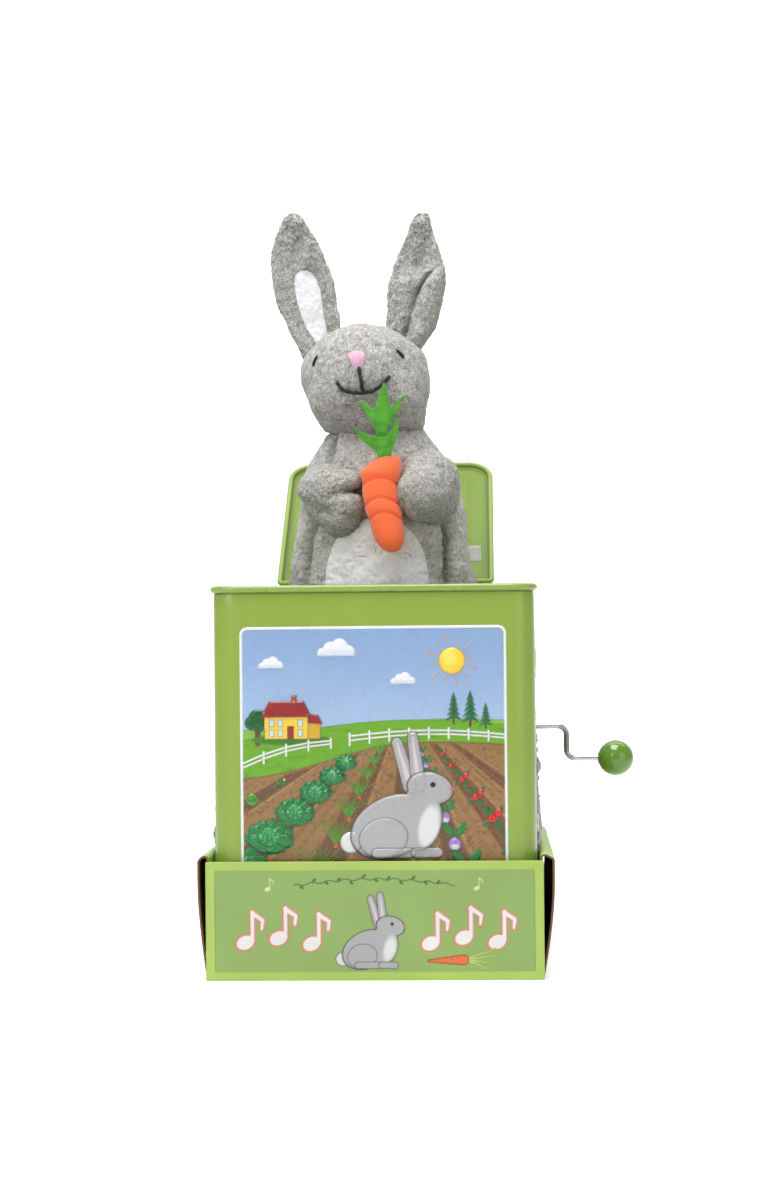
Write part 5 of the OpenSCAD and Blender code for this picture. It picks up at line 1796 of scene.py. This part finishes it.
def left_arm():
    """Mitten arm: upper fingers over a lower pad, with a deep crease between them."""
    centre = np.array((-20.0, -21, 204.5))

    def field(p):
        bulk = ellipsoid(p, (-21.6, -21.5, 207.5), (11.8, 12.5, 13.2))
        fingers = ellipsoid(p, (-13.2, -28.5, 211.8), (8.6, 7.8, 6.0), -14)
        thumb = ellipsoid(p, (-12.2, -30.0, 202.2), (7.6, 7.8, 7.6))
        pad = ellipsoid(p, (-15.4, -25.5, 195.6), (8.8, 9.5, 7.6), 22)
        sleeve = ellipsoid(p, (-25.5, -13, 210), (9.5, 12, 11))
        whole = soft_join(soft_join(bulk, fingers, 3.0), pad, 4.5)
        whole = soft_join(soft_join(whole, thumb, 2.6), sleeve, 5)
        gap = p[:, 2] - 207.6 - 0.1 * (p[:, 0] + 15)
        groove = 2.1 * bell(gap, 1.3) * smooth(-17.5, -11, p[:, 0]) * smooth(-20, -27, p[:, 1])
        tuck = 1.0 * bell(p[:, 2] - 199.5 + 0.5 * (p[:, 0] + 24), 2.0) * smooth(-17, -22, p[:, 0])
        return whole + groove + tuck

    points, faces = blob(centre, field, 34, 6)
    return nap(points, faces, 0.36, 1.3, 11), faces


def right_arm():
    """Arm that rounds forward over the carrot."""
    centre = np.array((22.6, -21.5, 208.5))

    def field(p):
        bulk = ellipsoid(p, (22.8, -23, 211.6), (13.9, 13.5, 14.8))
        paw = ellipsoid(p, (20.4, -32.4, 206.5), (11.7, 12.2, 12.2), 10)
        heel = ellipsoid(p, (25, -21, 204), (10, 10, 10.8))
        sleeve = ellipsoid(p, (27.2, -13.5, 213), (9.0, 10.5, 11))
        whole = soft_join(soft_join(bulk, paw, 4.5), heel, 5)
        tuck = 0.9 * bell(p[:, 0] - 13.4, 1.6) * smooth(208, 202, p[:, 2]) * smooth(-26, -32, p[:, 1])
        return soft_join(whole, sleeve, 5) + tuck

    points, faces = blob(centre, field, 34, 6)
    return nap(points, faces, 0.36, 1.3, 13), faces


# Carrot's left and right edges by height, and the heights of its three sewn rings.
CARROT_EDGES = [(181.0, 6.2, 8.6), (182.3, 3.4, 10.9), (185.6, 0.6, 12.4), (190, -1.0, 12.5),
                (194, -2.2, 12.0), (198, -3.5, 11.6), (203, -4.6, 11.0), (208.5, -5.2, 10.4),
                (213, -5.5, 10.6), (216.4, -6.1, 11.2), (219.6, -3.2, 11.6), (222, -0.2, 11.2),
                (223.3, 1.4, 9.8)]
CARROT_RINGS = (198.3, 204.7, 213.6)
# Where the lengths between them puff out most: height and spread.
CARROT_PUFFS = ((191, 6), (201.5, 2.6), (209, 3.6), (218, 4))


def carrot_shape():
    """Stuffed carrot: four puffed lengths between three arched seams, squared off on top."""
    rows, columns = ((190, 96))
    edges = np.array(CARROT_EDGES)
    share = np.linspace(0, 1, rows)
    heights = edges[0, 0] + (edges[-1, 0] - edges[0, 0]) * (0.5 - 0.5 * np.cos(math.pi * share) + share) / 2
    left, right = profile(edges[:, (0, 1)], heights), profile(edges[:, (0, 2)], heights)
    turn = np.linspace(0, 2 * math.pi, columns, endpoint=False)
    grid = np.empty((rows, columns, 3))
    for k, z in enumerate(heights):
        along = z + 3.2 * np.cos(turn) ** 2 * smooth(0.3, -0.3, np.sin(turn))
        groove = sum(bell(along - ring, 0.75) for ring in CARROT_RINGS)
        puff = sum(bell(along - middle, wide) for middle, wide in CARROT_PUFFS)
        middle, half = (left[k] + right[k]) / 2, (right[k] - left[k]) / 2
        r = np.maximum(half * (1 + 0.04 * puff) - 0.9 * groove, 0.3)
        forward = CARROT_LOW[1] + 8.0 + 0.1 * (z - 200)
        grid[k] = np.c_[middle + r * np.cos(turn), forward + 0.94 * r * np.sin(turn), np.full(columns, z)]
    return grid_solid(grid, FINISHES["carrot"], "carrot_cloth", depth=0.05, size=1.0, seed=9)


FELT_THICK = 1.1


def felt_leaf(name, outline, y, curl):
    """A felt shape cut along its outline, curled along its height, with soft edges."""
    corners = [np.array(point, float) for point in outline]
    curve = []
    for a, b in zip(corners, corners[1:] + corners[:1]):
        count = max(int(np.linalg.norm(b - a) / 0.8), 1)
        curve += [a + (b - a) * k / count for k in range(count)]
    mesh = bmesh.new()
    mesh.faces.new([mesh.verts.new((x * MM, y * MM, z * MM)) for x, z in curve])
    bmesh.ops.triangulate(mesh, faces=mesh.faces)
    bmesh.ops.subdivide_edges(mesh, edges=mesh.edges, cuts=3)
    foot = min(z for _, z in outline)
    for vertex in mesh.verts:
        x, z = vertex.co.x / MM, vertex.co.z / MM
        vertex.co.y += curl(x, z - foot) * MM
    flat = bpy.data.meshes.new(name)
    mesh.to_mesh(flat)
    mesh.free()
    obj = bpy.data.objects.new(name, flat)
    bpy.context.scene.collection.objects.link(obj)
    solid = obj.modifiers.new("thickness", "SOLIDIFY")
    solid.thickness = FELT_THICK * MM
    solid.offset = 0
    even = obj.modifiers.new("even", "REMESH")
    even.voxel_size = 0.26 * MM
    soften = obj.modifiers.new("soften", "SMOOTH")
    soften.iterations = 3
    made = obj.evaluated_get(bpy.context.evaluated_depsgraph_get())
    baked = bpy.data.meshes.new_from_object(made)
    bpy.data.objects.remove(obj)
    points = [tuple(v.co / MM) for v in baked.vertices]
    faces = [tuple(face.vertices) for face in baked.polygons]
    return build(name, nap(np.array(points), faces, 0.08, 0.9, 5), faces, FINISHES["leaf"], None)


def spring_coil():
    """The main spring, with closed end turns."""
    low, high = cad_box("main_spring")
    turns, foot, top = 9.5, low[2] + 0.9, high[2] - 0.9
    r0, r1 = high[0] - 0.9, 16.0
    t = np.linspace(0, 1, int(turns * 30))
    rise = np.clip((t * turns - 0.65) / (turns - 1.3), 0, 1)
    r = r0 + (r1 - r0) * rise
    a = 2 * math.pi * turns * t
    path = np.c_[r * np.cos(a), r * np.sin(a), foot + (top - foot) * rise]
    return loft("spring_coil", tube(path, 0.9, 10), FINISHES["spring"], sharp=50)


def tag():
    """Blank folded ribbon sewn into the side seam."""
    low, high = cad_box("side_tag")
    rows, columns = 10, 16
    front, back = [], []
    for z in np.linspace(low[2], high[2], rows):
        for x in np.linspace(low[0] - 1.5, high[0] + 1.2, columns):
            y = low[1] + 0.25 + 0.35 * math.sin((x - low[0]) * 0.5 + 0.2 * z)
            front.append((x, y - 0.15, z))
            back.append((x, y + 0.15, z))
    return sheet("sewn_tag", np.array(front), np.array(back), rows, columns, FINISHES["ribbon"], 0.0)


UPPER_LEAF = [(2.6, 221), (1.2, 228), (0.6, 235.6), (-1.7, 239.5), (-4.3, 243.6), (-5.9, 247.6),
              (-2.9, 246), (0.1, 243.8), (1.9, 248), (4.6, 255.2), (6.2, 249.6), (6.9, 244.6),
              (9.9, 246.9), (13.7, 249.8), (11.2, 244.6), (8.7, 239.6), (6.2, 235.4), (5.6, 229),
              (5.2, 221)]
LOWER_LEAF = [(2.3, 218.4), (1.9, 223), (-1.1, 226.6), (-4.1, 228.9), (-6.7, 232), (-8.7, 235.7),
              (-5.3, 233.6), (-0.9, 231.7), (2.3, 231.4), (5.7, 231.7), (8.1, 235.2), (10.7, 239.2),
              (10.5, 233), (8.9, 228), (7.4, 225.2), (6.9, 222), (6.8, 218.4)]


def curved_outline(points):
    """Rounds a closed outline a little between its points."""
    steps = 3
    padded = points[-2:] + points + points[:2]
    curve = curve_through(padded, steps * (len(padded) - 1))
    return [tuple(p) for p in curve[2 * steps:][: steps * len(points)]]


def ride_and_fold(obj, nodes, slot):
    """A soft piece that goes down with the rabbit, on a mesh of its own."""
    place(obj, "jack", nodes, slot)
    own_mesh(obj)
    return obj


def build_body():
    """Sleeve and belly, both riding with the rabbit."""
    sleeve, verts, faces = body_sleeve()
    ride_and_fold(sleeve, "body_cloth", "fur_grey")
    belly = belly_panel(surface(verts, faces))
    ride_and_fold(belly, "belly_patch", "fur_white")


def build_head():
    """Head, and the stitches that lie on it."""
    points, faces = head_shape()
    tree = surface(points, faces)
    head = build("head_plush", points, faces, FINISHES["fur"], None)
    place(head, "jack", "head", "fur_grey")
    for name, stitches, node, finish, slot in (
        ("nose_stitches", nose_stitches, "nose", "pink", "thread_pink"),
        ("eye_stitches", eye_stitches, "eyes", "black_thread", "thread_black"),
        ("mouth_stitches", mouth_stitches, "mouth", "black_thread", "thread_black"),
    ):
        place(build(name, *stitches(tree), FINISHES[finish], None), "jack", node, slot)


def build_ears():
    """Both ears, with the white lining that shows in the open one."""
    for name, shape, node, seed in (
        ("ear_plush_left", left_ear, "ear_left", 21),
        ("ear_plush_right", right_ear, "ear_right ear_lining_right", 23),
    ):
        grid = shape()
        rows, columns = grid.shape[:2]
        skin = grid_faces(rows, columns, wrap=True).tolist()
        verts = nap(grid.reshape(-1, 3), skin, 0.3, 1.2, seed)
        ear = grid_solid(verts.reshape(rows, columns, 3), FINISHES["fur"], name, depth=0.0)
        outward(ear)
        ride_and_fold(ear, node, "fur_grey")
        if name == "ear_plush_left":
            inset = lining(surface(verts, skin), "ear_inset_left", LINING_LEFT)
            ride_and_fold(inset, "ear_lining_left", "fur_white")


def upper_curl(x, z):
    """How far the upper leaf leans forward and cups, z above its foot."""
    return -0.0035 * z * z + 0.008 * (x - 2) ** 2 * smooth(15, 30, z)


def lower_curl(x, z):
    """How far the lower leaf leans forward, its sides most, z above its foot."""
    return -0.012 * z * z - 0.02 * (x - 3) ** 2 * smooth(6, 16, z)


def build_arms_and_carrot():
    """Arms, and the carrot that they hold."""
    for name, shape, node in (
        ("arm_plush_left", left_arm, "arm_left"),
        ("arm_plush_right", right_arm, "arm_right"),
    ):
        place(build(name, *shape(), FINISHES["shaded_arm_fur"], None), "jack", node, "fur_grey")
    place(outward(carrot_shape()), "jack", "carrot", "carrot_cloth")
    upper = felt_leaf("felt_upper", curved_outline(UPPER_LEAF), -35.2, upper_curl)
    lower = felt_leaf("felt_lower", curved_outline(LOWER_LEAF), -36.6, lower_curl)
    place(upper, "jack", "leaf_upper", "felt_green")
    place(lower, "jack", "leaf_lower", "felt_green")


def build_spring():
    """The main spring, riding on the tin."""
    coil = place(spring_coil(), "tin", "main_spring", "bright_steel")
    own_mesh(coil)


def build_rabbit():
    """The rabbit, and the spring that throws it up."""
    build_body()
    build_head()
    build_ears()
    build_arms_and_carrot()
    place(tag(), "jack", "side_tag", "tag_white")
    build_spring()


# ---------------------------------------------------------------- studio


def only_for_camera(tree, seen, felt):
    """A number that is seen to the camera and felt to everything else."""
    path = tree.nodes.new("ShaderNodeLightPath")
    span = tree.nodes.new("ShaderNodeMapRange")
    span.inputs["To Min"].default_value = felt
    span.inputs["To Max"].default_value = seen
    tree.links.new(path.outputs["Is Camera Ray"], span.inputs["Value"])
    return span.outputs["Result"]


def floor():
    """Pale sweep that the toy stands on, lit up to the white of the backdrop."""
    f = Finish("studio_floor", roughness=0.7)
    tone = f.ramp(f.noise(60, 3), (0.3, srgb(238, 238, 238)), (0.7, srgb(246, 246, 246)))
    f.set(Base_Color=tone, Emission_Color=(1, 1, 1))
    f.set(Emission_Strength=only_for_camera(f.tree, 0.42, 0.0))
    f.bump(f.noise(1.5, 2), 0.01)
    rows = [(-1500, 0), (1200, 0)]
    bend = np.radians(np.linspace(8, 90, 12))
    rows += [(1200 + 500 * math.sin(a), 500 - 500 * math.cos(a)) for a in bend]
    rows.append((1700, 2200))
    points = np.array([[(x, y, z) for x in np.linspace(-2200, 2200, 9)] for y, z in rows], float)
    obj = build("floor", points.reshape(-1, 3), grid_faces(len(rows), 9), f.material, None)


def softbox(name, place_at, aim, size, power):
    """Soft rectangular lamp; places and sizes are in metres."""
    light = bpy.data.lights.new(name, "AREA")
    light.shape = "RECTANGLE"
    light.size, light.size_y = size
    light.energy = power
    obj = bpy.data.objects.new(name, light)
    bpy.context.scene.collection.objects.link(obj)
    obj.location = place_at
    obj.rotation_euler = (Vector(aim) - Vector(place_at)).to_track_quat("-Z", "Y").to_euler()


def studio():
    """Floor, even white surroundings and four soft lamps."""
    floor()
    world = bpy.data.worlds.new("studio")
    world.use_nodes = True
    tree = world.node_tree
    background = tree.nodes["Background"]
    background.inputs["Color"].default_value = (1, 1, 1, 1)
    tree.links.new(only_for_camera(tree, 1.0, 0.29), background.inputs["Strength"])
    bpy.context.scene.world = world
    middle = (0.0, 0.0, 0.17)
    softbox("top", (-0.1, -0.3, 1.35), middle, (0.9, 0.9), 17)
    softbox("key", (-0.9, -1.3, 0.8), middle, (0.9, 0.9), 6.4)
    softbox("fill", (1.2, -1.2, 0.5), middle, (1.0, 1.0), 3.2)
    softbox("sweep", (0.0, 0.7, 1.5), (0.0, 1.6, 0.3), (2.4, 0.8), 16)


CAMERA_PLACE = (0.049, -1.02, 0.1492)  # metres
CAMERA_TURNS = (2.491, 0.69, -0.55)  # yaw to the toy, pitch up and roll, in degrees
CAMERA_LENS = 67.81


def camera():
    """Long lens just right of the toy's front, level with the tin."""
    data = bpy.data.cameras.new("camera")
    data.lens = CAMERA_LENS
    data.sensor_width = 36
    obj = bpy.data.objects.new("camera", data)
    bpy.context.scene.collection.objects.link(obj)
    yaw, pitch, roll = (math.radians(v) for v in CAMERA_TURNS)
    level = math.cos(pitch)
    ahead = Vector((-math.sin(yaw) * level, math.cos(yaw) * level, math.sin(pitch)))
    turn = ahead.to_track_quat("-Z", "Y").to_matrix() @ Matrix.Rotation(roll, 3, "Z")
    obj.matrix_world = Matrix.Translation(CAMERA_PLACE) @ turn.to_4x4()
    bpy.context.scene.camera = obj


build_tray()
build_tin()
build_rabbit()
dress_cad_nodes()
studio()
camera()
bpy.context.scene.view_settings.view_transform = "Standard"
